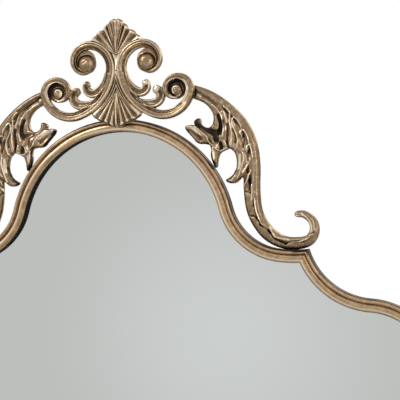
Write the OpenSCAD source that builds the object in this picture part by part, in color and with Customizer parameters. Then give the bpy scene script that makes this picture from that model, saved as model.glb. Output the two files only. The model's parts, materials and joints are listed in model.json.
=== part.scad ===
// Wall mirror: a wide arched mirror in a slim metal moulding, with a cast crest of
// scrolls and palmettes on the arch and an acanthus leaf down each flank.
// X runs to the right, Z up, the mirror faces -Y, and the wall is the plane Y = 0.
// The origin lies on the wall, midway between the two hook points.
// The pieces are drawn in a plane of their own: x across, y up and z towards the room,
// with z = 0 on the back of the moulding. facing() stands that plane up.

/* [Outline] */
// Radius of the arch along the edge of the visible glass
arch_r = 197; // [180:1:215]
// Turn of the arch from its top to the flank, in degrees
arch_turn = 76; // [70:1:80]
// Radius of the hollow curve at the foot of the arch
foot_r = 129; // [112:1:150]
// Slope where the hollow curve passes into the ledge, in degrees
foot_slope = 8; // [5:1:12]
// Radius of the nearly flat ledge
ledge_r = 232; // [205:1:260]
// Rise of the ledge towards the notch, in degrees
ledge_rise = 2.5; // [1:0.5:4]
// Slope of the wing where it leaves the notch, in degrees
wing_slope = 66; // [60:1:70]
// Radius of the hollow wing
wing_r = 151; // [130:1:175]
// Slope where the wing passes into the shoulder, in degrees
wing_end = 4; // [2:1:8]
// Radius of the round shoulder
shoulder_r = 114; // [95:1:135]
// Length of the straight side, from the shoulder to the bottom edge of the glass
stile_len = 492; // [400:1:650]
// Height of the top of the straight side above the hook points
stile_above_hook = 50; // [45:1:90]

/* [Moulding] */
// Width of the moulding
rail_w = 24; // [22:0.5:30]
// Depth of the moulding at its bead
rail_d = 28; // [26:0.5:34]
// Height of the straight outer wall
wall_d = 21; // [18:0.5:22]
// Width of the lip in front of the glass
lip_w = 8; // [7:0.5:9]
// Depth of the rebate that holds the glass and the board
rebate_d = 10; // [9.5:0.5:12]
// Radius of the round bead
bead_r = 3; // [2:0.25:3.5]
// Distance of the bead from the outer edge
bead_in = 5; // [4:0.25:6]
// Width of the rounded band
band_w = 13.8; // [12:0.2:14.5]
// Depth of the rounded band at its crown
band_d = 24.5; // [23:0.5:26]
// Radius of the rounded band
band_r = 13; // [11:0.5:16]

/* [Glass and board] */
// Thickness of the mirror glass
glass_t = 4; // [3:0.5:5]
// Thickness of the seal between the lip and the glass
seal_t = 1; // [0.5:0.25:1.5]
// Clearance round the glass and the board
glass_gap = 1; // [0.5:0.25:2]
// Width of the seal
seal_w = 5.5; // [4:0.5:6]

/* [Crest] */
// Width of the scroll strip at the waist
strip_w = 19; // [16:0.5:22]
// Depth of the scroll strip
strip_d = 12; // [9:0.5:15]
// Height of the waist above the arch
waist_up = 91; // [85:1:98]
// Radius of the strip above the waist
neck_r = 45; // [41:0.5:50]
// Radius of the strip round the top
crown_r = 31; // [28:0.5:34]
// Radius of the end that closes round the ball
ball_turn_r = 23; // [21:0.5:25]
// Radius of the strip below the waist
sweep_r = 97; // [88:1:102]
// Radius of the lower loop
loop_r = 52; // [49:0.5:56]
// Radius of the outer turn of the lower coil
coil_r = 24; // [22:0.5:26]
// Radius of the inner turn of the lower coil
eye_turn_r = 16; // [14:0.5:17]
// Radius of the ball
ball_r = 18.5; // [16:0.5:19]
// Radius of the eye of the lower coil
eye_r = 9; // [7:0.5:10]
// Thickness of the web inside the ball's turn and the coil
web_t = 3; // [2:0.5:4]
// Radius of the end of the inner curl
inner_curl_r = 12; // [10:0.5:14]
// Width of the inner curl
inner_curl_w = 13; // [11:0.5:15]
// Radius of the end of the outer curl
outer_curl_r = 14.5; // [13:0.5:16]
// Width of the outer curl
outer_curl_w = 15; // [13:0.5:16.5]
// Gap between the crest and the face of the moulding
crest_gap = 0.4; // [0.3:0.1:1]
// Height of the crest above the arch
crest_h = 186; // [180:1:205]
// Half width of the top palmette
palm_w = 50; // [44:1:58]
// Half width of the base palmette
fan_w = 48; // [42:1:56]
// Drop of the base palmette below the top of the arch
fan_drop = 15; // [12:0.5:18]

/* [Leaves] */
// Depth of the leaf casting
leaf_d = 16; // [12:0.5:18]
// Height of the back of the leaf above the back of the moulding
leaf_back = 8; // [5:0.5:10]
// Height of the back of the leaf above the arch
leaf_up = 88; // [80:1:95]
// Width of the leaf along its back
leaf_w = 30; // [24:1:34]
// Radius of the upturned end of the tail
tail_r = 27; // [24:0.5:31]

/* [Fixings] */
// Thickness of the bumpers, which set the gap behind the mirror
bumper_h = 8; // [7.5:0.5:12]
// Radius of the bumpers
bumper_r = 6; // [4:0.5:7]
// Thickness of the steel plates and straps
plate_t = 1.5; // [1:0.25:1.75]
// Width of the steel plates
plate_w = 12; // [10:0.5:13]
// Radius of the screw shanks
shank_r = 1.5; // [1.25:0.25:1.75]
// Radius of the screw heads
head_r = 3; // [2.5:0.25:3.25]
// Length of the screws in the moulding
screw_l = 9; // [6:0.5:9.5]
// Length of a turn button from its screw to its tip
button_l = 22; // [19:0.5:26]
// Width of a turn button
button_w = 12; // [10:0.5:13]
// Radius of the wire of the hanging rings
wire_r = 1.5; // [1.25:0.05:1.6]
// Half width of a hanging ring, to the middle of its wire
ring_w = 8.5; // [8.25:0.25:9]
// Straight length of the sides of a hanging ring
ring_leg = 6; // [5:0.5:9]
// Thickness of the crest bracket
bracket_t = 3; // [2:0.25:4]
// Half width of the crest bracket
bracket_w = 14; // [13.5:0.5:16]
// Depth of a screw's hole in a casting
cast_hole = 5; // [4:0.5:6]

/* [Hidden] */

$fn = 48;
// Room between pieces that lie against each other
seat = 0.3;
// Room round a screw in its hole
hole_gap = 0.1;
// Room of the wire in its barrel and of a turn button under its screw
run_gap = 0.15;

// Two arcs of one length of moulding meet at a hairline, this wide in degrees, and a core
// just inside the section runs this far past it on both sides to make them one
hairline = 0.008;
core_turn = 0.8;

function polar(c, r, a) = c + r * [sin(a), cos(a)];

// The centres of the arcs, first from the centre of the arch
foot_0 = polar([0, 0], arch_r + foot_r, arch_turn);
ledge_0 = polar(foot_0, ledge_r - foot_r, foot_slope);
wing_0 = polar(polar(ledge_0, -ledge_r, -ledge_rise), wing_r, wing_slope);
shoulder_0 = polar(wing_0, -(wing_r + shoulder_r), wing_end);
arch_c = [0, stile_above_hook - shoulder_0.y];
foot_c = foot_0 + arch_c;
ledge_c = ledge_0 + arch_c;
wing_c = wing_0 + arch_c;
shoulder_c = shoulder_0 + arch_c;
side_x = shoulder_c.x + shoulder_r;
bottom_z = stile_above_hook - stile_len;
arch_out = arch_r + rail_w;
foot_out = foot_r - rail_w;
ledge_out = ledge_r - rail_w;
arch_top = [0, arch_c.y + arch_out];

// The middle of the solid back of the moulding, across its width
back_n = (lip_w + rail_w) / 2;
board_t = rebate_d - seal_t - glass_t;
pane_n = lip_w - glass_gap;

// The lower crossing of two circles
function crossing(c0, r0, c1, r1) =
    let (
        d = norm(c1 - c0),
        u = (c1 - c0) / d,
        a = (r0 * r0 - r1 * r1 + d * d) / (2 * d)
    )
    c0 + a * u + sqrt(r0 * r0 - a * a) * [u.y, -u.x];

function heading(c, p) = atan2(c.x - p.x, c.y - p.y);
function notch(n) = crossing(ledge_c, ledge_r - n, wing_c, wing_r - n);
function arc(c, r, a0, a1, steps) =
    [for (i = [0 : steps]) polar(c, r, a0 + (a1 - a0) * i / steps)];

// The right half of the outline, n outside the edge of the visible glass
function half_outline(n) =
    let (k = notch(n))
    concat(
        arc(arch_c, arch_r + n, 0, arch_turn, 24),
        arc(foot_c, n - foot_r, arch_turn - 3, foot_slope, 20),
        arc(ledge_c, n - ledge_r, foot_slope - 2, heading(ledge_c, k), 5),
        arc(wing_c, n - wing_r, heading(wing_c, k) - 3, wing_end, 20),
        arc(shoulder_c, shoulder_r + n, wing_end + 3, 90, 24),
        [[side_x + n, bottom_z - n]]
    );

module outline(n) {
    right = half_outline(n);
    left = [for (i = [len(right) - 1 : -1 : 1]) [-right[i].x, right[i].y]];
    polygon(concat(right, left));
}

module facing() {
    translate([0, -bumper_h, 0]) rotate([90, 0, 0]) children();
}

module left_side() {
    mirror([1, 0, 0]) children();
}

// The cross-section of the moulding: x outwards from the glass, y towards the room
bead_c = [rail_w - bead_in, rail_d - bead_r];
band_c = [band_w / 2 + 1, band_d - band_r];
band_a = acos((band_w / 2) / band_r);
function round_pts(c, r, a0, a1, steps) =
    [for (i = [0 : steps]) let (a = a0 + (a1 - a0) * i / steps) c + r * [cos(a), sin(a)]];
rail_section = concat(
    [[lip_w, 0], [rail_w, 0], [rail_w, wall_d]],
    round_pts(bead_c, bead_r, -20, 200, 10),
    [[bead_c.x - bead_r - 1, bead_c.y - bead_r + 0.6]],
    round_pts(band_c, band_r, band_a + 1, 180 - band_a, 8),
    [[0, band_c.y + band_r * sin(band_a) - 1.5], [0, rebate_d], [lip_w, rebate_d]]
);

core_c = [14, 14];
core_section = [for (p = rail_section) core_c + 0.98 * (p - core_c)];

module outward_rail(c, r, a0, a1, section = rail_section) {
    translate(c) rotate([0, 0, 90 - a1]) rotate_extrude(angle = a1 - a0, $fn = 180)
        polygon([for (p = section) [r + p.x, p.y]]);
}

module hollow_rail(c, r, a0, a1, section = rail_section) {
    translate(c) rotate([0, 0, -90 - a1]) rotate_extrude(angle = a1 - a0, $fn = 180)
        polygon([for (p = section) [r - p.x, p.y]]);
}

// A block on one side of the cut through p in direction a: 1 is left of it, -1 right
module mitre(p, a, side) {
    translate(p) rotate([0, 0, a]) translate([-60, side > 0 ? 0 : -80, -1])
        cube([160, 80, rail_d + 2]);
}

notch_in = notch(0);
notch_out = notch(rail_w);
notch_a = atan2(notch_out.y - notch_in.y, notch_out.x - notch_in.x);

module screw_hole(p, z = 0) {
    translate([p.x, p.y, z - 1]) cylinder(r = shank_r + hole_gap, h = screw_l + 2);
}

module arch_rail() {
    difference() {
        union() {
            outward_rail(arch_c, arch_r, 0, arch_turn - hairline);
            outward_rail(arch_c, arch_r, arch_turn - core_turn, arch_turn + core_turn, core_section);
            hollow_rail(foot_c, foot_r, foot_slope + hairline, arch_turn);
            hollow_rail(foot_c, foot_r, foot_slope - core_turn, foot_slope + core_turn, core_section);
            difference() {
                hollow_rail(ledge_c, ledge_r, -ledge_rise - 8, foot_slope);
                mitre(notch_in, notch_a, -1);
            }
        }
        screw_hole(top_plate_hole);
        screw_hole(notch_plate_holes[0]);
        screw_hole(button_places[0][0]);
        bracket_foot_hole();
    }
}

module wing_rail() {
    difference() {
        union() {
            difference() {
                hollow_rail(wing_c, wing_r, wing_end, wing_slope + 12);
                mitre(notch_in, notch_a, 1);
            }
            hollow_rail(wing_c, wing_r, wing_end - core_turn, wing_end + core_turn, core_section);
            outward_rail(shoulder_c, shoulder_r, wing_end + hairline, 90);
        }
        screw_hole(notch_plate_holes[1]);
        screw_hole(side_plate_holes[0]);
        screw_hole(button_places[1][0]);
    }
}

module stile() {
    difference() {
        translate([side_x, stile_above_hook, 0]) rotate([90, 0, 0])
            linear_extrude(stile_len + rail_w) polygon(rail_section);
        mitre([side_x, bottom_z], -45, -1);
        screw_hole(side_plate_holes[1]);
        screw_hole(corner_plate_holes[0]);
        screw_hole(button_places[2][0]);
        for (y = strap_holes) screw_hole([side_x + hanger_n, y]);
    }
}

module bottom_rail_solid() {
    difference() {
        translate([side_x + rail_w, bottom_z, 0]) rotate([0, 0, -90]) rotate([90, 0, 0])
            linear_extrude(2 * (side_x + rail_w)) polygon(rail_section);
        for (m = [0, 1]) mirror([m, 0, 0]) {
            mitre([side_x, bottom_z], -45, 1);
            screw_hole(corner_plate_holes[1]);
            screw_hole(button_places[3][0]);
        }
    }
}

// Each turn button's place and the direction in which its tip points
button_places = [
    [polar(arch_c, arch_r + back_n, 34), 34 + 180],
    [polar(wing_c, back_n - wing_r, 34), 34 + 180],
    [[side_x + back_n, bottom_z + stile_len * 0.42], 270],
    [[side_x * 0.5, bottom_z - back_n], 0]
];

module turn_button(i) {
    p = button_places[i][0];
    tip_r = button_w * 0.42;
    color("gainsboro") facing()
        translate([p.x, p.y, -seat - plate_t]) rotate([0, 0, -button_places[i][1]])
        difference() {
            union() {
                cylinder(r = button_w / 2, h = plate_t);
                translate([-tip_r, 0, 0]) cube([2 * tip_r, button_l - tip_r, plate_t]);
                translate([0, button_l - tip_r, 0]) cylinder(r = tip_r, h = plate_t);
            }
            translate([0, 0, -1]) cylinder(r = shank_r + hole_gap, h = plate_t + 2);
        }
}

// A screw whose head lies on a plate that is this thick, driven towards +z
module screw(p, stack, length = screw_l) {
    translate([p.x, p.y, -stack]) difference() {
        union() {
            translate([0, 0, -head_h]) cylinder(r = head_r, h = head_h);
            translate([0, 0, -0.01]) cylinder(r = shank_r, h = stack + length - 0.5);
        }
        translate([-head_r, -slot_w / 2, -head_h - 1]) cube([2 * head_r, slot_w, 1 + head_h / 2]);
    }
}
head_h = 1.8;
slot_w = 0.8;

// The steel plates across the joints of the moulding
top_plate_l = 56;
side_plate_l = 40;
leg_l = 34;
top_plate_hole = polar(arch_c, arch_r + back_n, 5.2);
notch_mid = notch(back_n);
notch_legs = [180 - heading(ledge_c, notch_mid), -heading(wing_c, notch_mid)];
plate_hole_l = leg_l - plate_w / 2;
notch_plate_holes = [for (a = notch_legs) notch_mid + plate_hole_l * [cos(a), sin(a)]];
side_plate_holes = [for (s = [1, -1]) [side_x + back_n - (s + 1) / 2, stile_above_hook + s * 14]];
corner_mid = [side_x + back_n, bottom_z - back_n];
corner_plate_holes = [corner_mid + [0, plate_hole_l], corner_mid - [plate_hole_l, 0]];

module plate_bar(p, a, l) {
    translate([p.x, p.y, -plate_t]) rotate([0, 0, a]) translate([-l / 2, -plate_w / 2, 0])
        cube([l, plate_w, plate_t]);
}

// An angle plate with legs in the directions a and b from the corner at p
module angle_plate(p, a, b) {
    half = plate_w / 2;
    u = [cos(a), sin(a)];
    v = [cos(b), sin(b)];
    inner = half / sin((b - a) / 2) * [cos((a + b) / 2), sin((a + b) / 2)];
    translate([p.x, p.y, -plate_t]) linear_extrude(plate_t) polygon([
        -inner, leg_l * u + half * [u.y, -u.x], leg_l * u + half * [-u.y, u.x],
        inner, leg_l * v + half * [v.y, -v.x], leg_l * v + half * [-v.y, v.x]
    ]);
}

module plate_hole(p) {
    translate([p.x, p.y, -plate_t - 1]) cylinder(r = shank_r + hole_gap, h = plate_t + 2);
}

module top_joint_plate() {
    color("silver") facing() difference() {
        plate_bar([0, arch_c.y + arch_r + back_n - 1], 0, top_plate_l);
        for (s = [-1, 1]) plate_hole([s * top_plate_hole.x, top_plate_hole.y]);
    }
}

module notch_plate() {
    color("silver") facing() difference() {
        angle_plate(notch_mid, notch_legs[1], notch_legs[0]);
        for (p = notch_plate_holes) plate_hole(p);
    }
}

module side_plate() {
    color("silver") facing() difference() {
        plate_bar([side_x + back_n - 0.5, stile_above_hook], 90, side_plate_l);
        for (p = side_plate_holes) plate_hole(p);
    }
}

module corner_plate() {
    color("silver") facing() difference() {
        angle_plate(corner_mid, 90, 180);
        for (p = corner_plate_holes) plate_hole(p);
    }
}

module both_sides() {
    children();
    mirror([1, 0, 0]) children();
}

module joint_plate_screws() {
    places = concat([top_plate_hole], notch_plate_holes, side_plate_holes, corner_plate_holes);
    color("darkgoldenrod") facing() both_sides() for (p = places) screw(p, plate_t);
}

module turn_button_screws() {
    color("darkgoldenrod") facing() both_sides()
        for (b = button_places) screw(b[0], plate_t + seat + run_gap);
}

// The hanging ring turns in a barrel at the top of its strap
hanger_n = lip_w + ring_w + wire_r - 4.5;
barrel_r = wire_r + run_gap + 1.55;
ring_top = ring_leg + ring_w - wire_r;
barrel_y = -ring_top;
strap_w = 2 * (ring_w - wire_r) - 1;
strap_hole_up = ring_leg + ring_w + wire_r + head_r + 2;
strap_hole_step = 14;
strap_l = strap_hole_up + strap_hole_step + head_r + 3;
strap_holes = [for (i = [0, 1]) barrel_y - strap_hole_up - i * strap_hole_step];

module hanger_strap() {
    color("silver") facing() translate([side_x + hanger_n, barrel_y, 0]) difference() {
        union() {
            translate([-strap_w / 2, -strap_l, -plate_t]) cube([strap_w, strap_l, plate_t]);
            translate([-strap_w / 2, 0, -barrel_r]) rotate([0, 90, 0])
                cylinder(r = barrel_r, h = strap_w);
        }
        translate([-strap_w / 2 - 1, 0, -barrel_r]) rotate([0, 90, 0])
            cylinder(r = wire_r + run_gap, h = strap_w + 2);
        for (y = strap_holes)
            translate([0, y - barrel_y, -plate_t - 1]) cylinder(r = shank_r + hole_gap, h = plate_t + 2);
    }
}

module hanger_ring() {
    color("gainsboro") facing() translate([side_x + hanger_n, barrel_y, -barrel_r]) {
        translate([-ring_w, 0, 0]) rotate([0, 90, 0]) cylinder(r = wire_r, h = 2 * ring_w);
        for (s = [-1, 1]) {
            translate([s * ring_w, 0, 0]) sphere(r = wire_r);
            translate([s * ring_w, 0, 0]) rotate([90, 0, 0]) cylinder(r = wire_r, h = ring_leg);
        }
        translate([0, -ring_leg, 0]) rotate([0, 0, 180])
            rotate_extrude(angle = 180) translate([ring_w, 0]) circle(r = wire_r);
    }
}

module hanger_screws() {
    color("darkgoldenrod") facing() both_sides()
        for (y = strap_holes) screw([side_x + hanger_n, y], plate_t);
}

bumper_places = [
    polar(arch_c, arch_r + back_n, 58),
    [side_x + back_n, bottom_z + 70]
];

module wall_bumpers() {
    color("dimgray") facing() both_sides() for (p = bumper_places)
        translate([p.x, p.y, -bumper_h]) cylinder(r = bumper_r, h = bumper_h);
}

module mirror_glass() {
    color("lightsteelblue") facing() translate([0, 0, board_t])
        linear_extrude(glass_t) outline(pane_n);
}

module glass_seal() {
    color("black") facing() translate([0, 0, board_t + glass_t]) linear_extrude(seal_t)
        difference() {
            outline(pane_n);
            outline(pane_n - seal_w);
        }
}

module backing_board() {
    color("saddlebrown") facing() linear_extrude(board_t) outline(pane_n);
}

// A route is a list of stations: [place, direction of travel, width]
function turn_left(p, a, r) = p + r * [-sin(a), cos(a)];
function arc_stations(p, a, r, turn, w0, w1, steps) =
    let (c = turn_left(p, a, r))
    [for (i = [0 : steps])
        let (k = i / steps, b = a + turn * k)
        [c - r * [-sin(b), cos(b)], b, w0 + (w1 - w0) * k]];
// Arcs are [radius, turn, width at the end], and each goes on where the last one stops
function chain(p, a, w, arcs, step, i = 0) =
    i == len(arcs) ? [] :
    let (
        s = arc_stations(p, a, arcs[i][0], arcs[i][1], w, arcs[i][2], ceil(abs(arcs[i][1]) / step)),
        e = s[len(s) - 1]
    )
    concat(i == 0 ? s : [for (j = [1 : len(s) - 1]) s[j]], chain(e[0], e[1], e[2], arcs, step, i + 1));

// A solid swept along the stations; the section is [share of the width, height]
module sweep(stations, section, z) {
    m = len(section);
    n = len(stations);
    pts = [for (s = stations, q = section)
        let (p = s[0] + q.x * s[2] * [sin(s[1]), -cos(s[1])])
        [p.x, p.y, z + q.y]];
    sides = [for (i = [0 : n - 2], j = [0 : m - 1])
        [i * m + j, i * m + (j + 1) % m, (i + 1) * m + (j + 1) % m, (i + 1) * m + j]];
    ends = [[for (j = [m - 1 : -1 : 0]) j], [for (j = [0 : m - 1]) (n - 1) * m + j]];
    polyhedron(points = pts, faces = concat(sides, ends), convexity = 10);
}

// The crest lies in front of the moulding, on one plane
crest_z = rail_d + crest_gap;
waist = [strip_w / 2 + 0.9, arch_top.y + waist_up];
waist_a = -85;
upper_arcs = [[-neck_r, -86, strip_w * 0.9], [-crown_r, -90, strip_w * 0.68],
    [-ball_turn_r, -80, strip_w * 0.5], [-ball_turn_r * 0.783, -62, strip_w * 0.16]];
lower_arcs = [[sweep_r, 65, strip_w * 0.92], [loop_r, 97, strip_w * 0.66],
    [coil_r, 153, strip_w * 0.55], [eye_turn_r, 211, strip_w * 0.42]];
upper_half = chain(waist, waist_a + 180, strip_w, upper_arcs, 11);
lower_half = chain(waist, waist_a, strip_w, lower_arcs, 11);
function flip(s) = [s[0], s[1] + 180, s[2]];
scroll_route = concat(
    [for (i = [len(upper_half) - 1 : -1 : 1]) flip(upper_half[i])],
    lower_half
);
// The strip has a high ridge on its outer side, a hollow and a low inner edge
strip_section = [[0.5, 0], [0.5, strip_d * 0.55], [0.26, strip_d], [-0.1, strip_d * 0.62],
    [-0.36, strip_d * 0.74], [-0.5, strip_d * 0.42], [-0.5, 0]];

ball_start = chain(waist, waist_a + 180, strip_w, [upper_arcs[0], upper_arcs[1]], 90);
ball_turn_c = turn_left(ball_start[len(ball_start) - 1][0], waist_a + 4, -ball_turn_r);
ball_c = ball_turn_c - ball_turn_r * [0.109, 0.065];
lower_end = lower_half[len(lower_half) - 1];
eye_c = turn_left(lower_end[0], lower_end[1], eye_r);

module dome(p, r, z, depth) {
    translate([p.x, p.y, z]) intersection() {
        translate([0, 0, depth - r]) sphere(r = r, $fn = 20);
        translate([-r, -r, 0]) cube([2 * r, 2 * r, depth + 1]);
    }
}

// The centres of the strip's arcs next to the waist
neck_c = turn_left(waist, waist_a + 180, -neck_r);
crown_c = turn_left(upper_half[ceil(86 / 11)][0], waist_a + 94, -crown_r);
sweep_c = turn_left(waist, waist_a, sweep_r);

// The two curls that leave the strip's inner edge, and the sections of round strands
inner_curl = chain(waist + strip_w * [0.37, -0.316], -83, inner_curl_w * 0.69,
    [[neck_r, 50, inner_curl_w], [inner_curl_r, 150, inner_curl_w * 0.69]], 15);
outer_curl = chain(sweep_c - (sweep_r - strip_w * 0.226) * [cos(45.4), sin(45.4)], -28, outer_curl_w * 0.67,
    [[neck_r, 35, outer_curl_w], [outer_curl_r, 150, outer_curl_w * 0.73]], 15);
function round_section(h) =
    [[0.5, 0], [0.5, h * 0.4], [0.28, h * 0.85], [0, h], [-0.28, h * 0.85], [-0.5, h * 0.4], [-0.5, 0]];

module scroll() {
    color("peru") facing() difference() {
        union() {
            sweep(scroll_route, strip_section, crest_z);
            dome(ball_c, ball_r, crest_z, strip_d + 3);
            dome(eye_c, eye_r, crest_z, strip_d);
            translate([ball_turn_c.x, ball_turn_c.y, crest_z]) cylinder(r = ball_turn_r * 0.91, h = web_t, $fn = 30);
            translate([eye_c.x, eye_c.y, crest_z]) cylinder(r = coil_r * 0.83, h = web_t, $fn = 30);
            for (c = [inner_curl, outer_curl]) let (e = c[len(c) - 1]) {
                sweep(c, round_section(strip_d * 0.8), crest_z);
                dome(e[0] + [-sin(e[1]), cos(e[1])], e[2] * 0.55, crest_z, strip_d * 0.85);
            }
        }
        cast_screw_hole(scroll_screw_place);
        cast_screw_hole(root_screw_place);
    }
}

module cast_screw_hole(p) {
    translate([p.x, p.y, crest_z - 1]) cylinder(r = shank_r + hole_gap, h = cast_hole + 1, $fn = 16);
}

// A palmette is a fan of ribs, cut to lie between the two strips; r and depth are those of the tip
module rib(from, to, r, depth) {
    hull() {
        translate([from.x, from.y, crest_z]) cylinder(r = 3, h = depth * 0.6, $fn = 10);
        translate([to.x, to.y, crest_z]) cylinder(r1 = r, r2 = r * 0.8, h = depth * 0.4, $fn = 14);
        translate([to.x, to.y, crest_z]) cylinder(r = r * 0.4, h = depth, $fn = 10);
    }
}

// The room that the strips take above and below the waist
module room_above() {
    both_sides() for (q = [[neck_c, neck_r], [crown_c, crown_r - strip_w * 0.05]])
        translate([q[0].x, q[0].y, crest_z - 1]) cylinder(r = q[1] + strip_w / 2 + seat, h = 40, $fn = 72);
}

module room_below() {
    both_sides() translate([sweep_c.x, sweep_c.y, crest_z - 1])
        cylinder(r = sweep_r + strip_w / 2 + seat, h = 40, $fn = 120);
}

module palmette(root, tips, radii, depths) {
    for (m = [0, 1]) mirror([m, 0, 0]) for (i = [0 : len(tips) - 1])
        rib(root, arch_top + tips[i], radii[i], depths[i]);
}

module top_palmette() {
    tips = [[0, crest_h - 5.5], [palm_w * 0.34, crest_h - 15], [palm_w * 0.61, crest_h - 26],
        [palm_w * 0.82, crest_h - 38]];
    color("peru") facing() difference() {
        palmette([0, waist.y + 12], tips, [11, 9.5, 9, 8.5], [11, 10, 9, 8]);
        room_above();
        cast_screw_hole(top_screw_place);
    }
}

module base_palmette() {
    tips = [[0, 8 - fan_drop], [fan_w * 0.22, 9.5 - fan_drop], [fan_w * 0.5, 6.5], [fan_w * 0.69, 9.5],
        [fan_w * 0.87, 14]];
    color("peru") facing() difference() {
        palmette([0, waist.y - 16], tips, [8, 8, 8, 7.5, 7.5], [10.5, 9.5, 9, 8.5, 8]);
        room_below();
        cast_screw_hole(base_screw_place);
    }
}

// The bracket stands on the arch and carries the crest from behind
bracket_z = crest_z - seat - bracket_t;
bracket_foot_z = rail_d * 0.25;
foot_w = 20;
foot_gap = 0.2;
bracket_y = arch_top.y + foot_gap;
foot_screw_x = foot_w - 5.5;
foot_screw_z = (rebate_d + wall_d) / 2;
foot_hole_l = 9;
base_screw_place = [0, arch_top.y + 22];
scroll_screw_place = waist + [0, 2];
top_screw_place = [0, waist.y + 32];
crest_screw_places = [base_screw_place, scroll_screw_place, [-scroll_screw_place.x, scroll_screw_place.y],
    top_screw_place];

module crest_bracket() {
    color("dimgray") facing() difference() {
        union() {
            translate([-bracket_w, bracket_y, bracket_z])
                cube([2 * bracket_w, top_screw_place.y + 6 - bracket_y, bracket_t]);
            translate([-foot_w, bracket_y, bracket_foot_z])
                cube([2 * foot_w, bracket_t, bracket_z + bracket_t - bracket_foot_z]);
        }
        both_sides() translate([foot_screw_x, bracket_y - 1, foot_screw_z])
            rotate([-90, 0, 0]) cylinder(r = shank_r + hole_gap, h = bracket_t + 2);
        for (p = crest_screw_places) translate([p.x, p.y, bracket_z - 1])
            cylinder(r = shank_r + hole_gap, h = bracket_t + 2);
    }
}

module bracket_foot_hole() {
    translate([foot_screw_x, bracket_y - foot_hole_l, foot_screw_z]) rotate([-90, 0, 0])
        cylinder(r = shank_r + hole_gap, h = foot_hole_l + bracket_t);
}

module bracket_screws() {
    color("darkgoldenrod") facing() both_sides()
        translate([foot_screw_x, bracket_y + bracket_t, foot_screw_z]) rotate([90, 0, 0])
            screw([0, 0], 0, bracket_t + foot_hole_l);
}

module crest_screws() {
    color("darkgoldenrod") facing() for (p = crest_screw_places)
        translate([p.x, p.y, bracket_z]) screw([0, 0], 0, bracket_t + seat + cast_hole);
}

// The root of each leaf is screwed to the strip of the lower coil from behind
root_screw_place = polar(eye_c, coil_r, 100);
root_boss_r = 6;

module leaf_screws() {
    color("darkgoldenrod") facing() both_sides()
        translate([root_screw_place.x, root_screw_place.y, leaf_back])
            screw([0, 0], 0, crest_z - leaf_back + cast_hole);
}

function on_arch(a, h) = polar(arch_c, arch_out + h, a);
function on_foot(a, h) = polar(foot_c, h - foot_out, a);
function on_ledge(a, h) = polar(ledge_c, h - ledge_out, a);

// A smooth route through points that each have a width
function spline(p, i, t) =
    let (a = p[max(i - 1, 0)], b = p[i], c = p[i + 1], d = p[min(i + 2, len(p) - 1)])
    0.5 * (2 * b + (c - a) * t + (2 * a - 5 * b + 4 * c - d) * t * t + (3 * b - a - 3 * c + d) * t * t * t);
function smooth(p, steps) = concat(
    [for (i = [0 : len(p) - 2], k = [0 : steps - 1]) spline(p, i, k / steps)],
    [p[len(p) - 1]]
);
function stations(q) = [for (i = [0 : len(q) - 1])
    let (d = q[min(i + 1, len(q) - 1)] - q[max(i - 1, 0)])
    [[q[i].x, q[i].y], atan2(d.y, d.x), q[i].z]];

function wide(p, w) = [p.x, p.y, w];
tail_c = on_ledge(-3.6, tail_r + 11.6);
leaf_points = concat(
    [for (q = [[25, -4, 0.6], [33, 0, 0.87], [41, 1, 1], [49, -1, 1.05], [56, -10, 1.06], [63, -25, 1.06], [71, -42, 1.05]])
        wide(on_arch(q[0], leaf_up + q[1]), leaf_w * q[2])],
    [wide(on_foot(64, 38), leaf_w), wide(on_foot(41, 30), leaf_w * 0.93), wide(on_foot(22, 21), leaf_w * 0.9),
        wide(on_foot(4, leaf_w * 0.4 + 3 * seat), leaf_w * 0.8)],
    [for (q = [[-6, 0.72], [40, 0.63], [80, 0.56], [120, 0.5], [160, 0.4], [188, 0.3]])
        wide(tail_c + tail_r * [sin(q[0]), -cos(q[0])], leaf_w * q[1])]
);
leaf_route = stations(smooth(leaf_points, 3));
leaf_section = [[0.5, 0], [0.5, leaf_d * 0.25], [0.3, leaf_d * 0.8], [0, leaf_d], [-0.3, leaf_d * 0.8], [-0.5, leaf_d * 0.25], [-0.5, 0]];

// Flutes, petals and feet are swept through points [angle, height, width]
module flute(points, depth) {
    p = [for (q = points) wide(on_arch(q[0], q[1]), q[2])];
    sweep(stations(smooth(p, 2)), round_section(depth), leaf_back);
}

// The thin blade between the flutes, as [angle, height]
blade = [[33, leaf_up], [33.5, 76], [36, 74], [39, 65], [40.8, 57], [41, 46], [42, 40], [46, 34], [50, 31],
    [51.5, 32], [52.7, 43], [55, 46.5], [58, 43], [60.5, 37], [64, 36], [66, 40], [66, 60],
    [60, leaf_up - 14], [50, leaf_up], [41, leaf_up]];
flute_d = leaf_d + 1.5;

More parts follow.
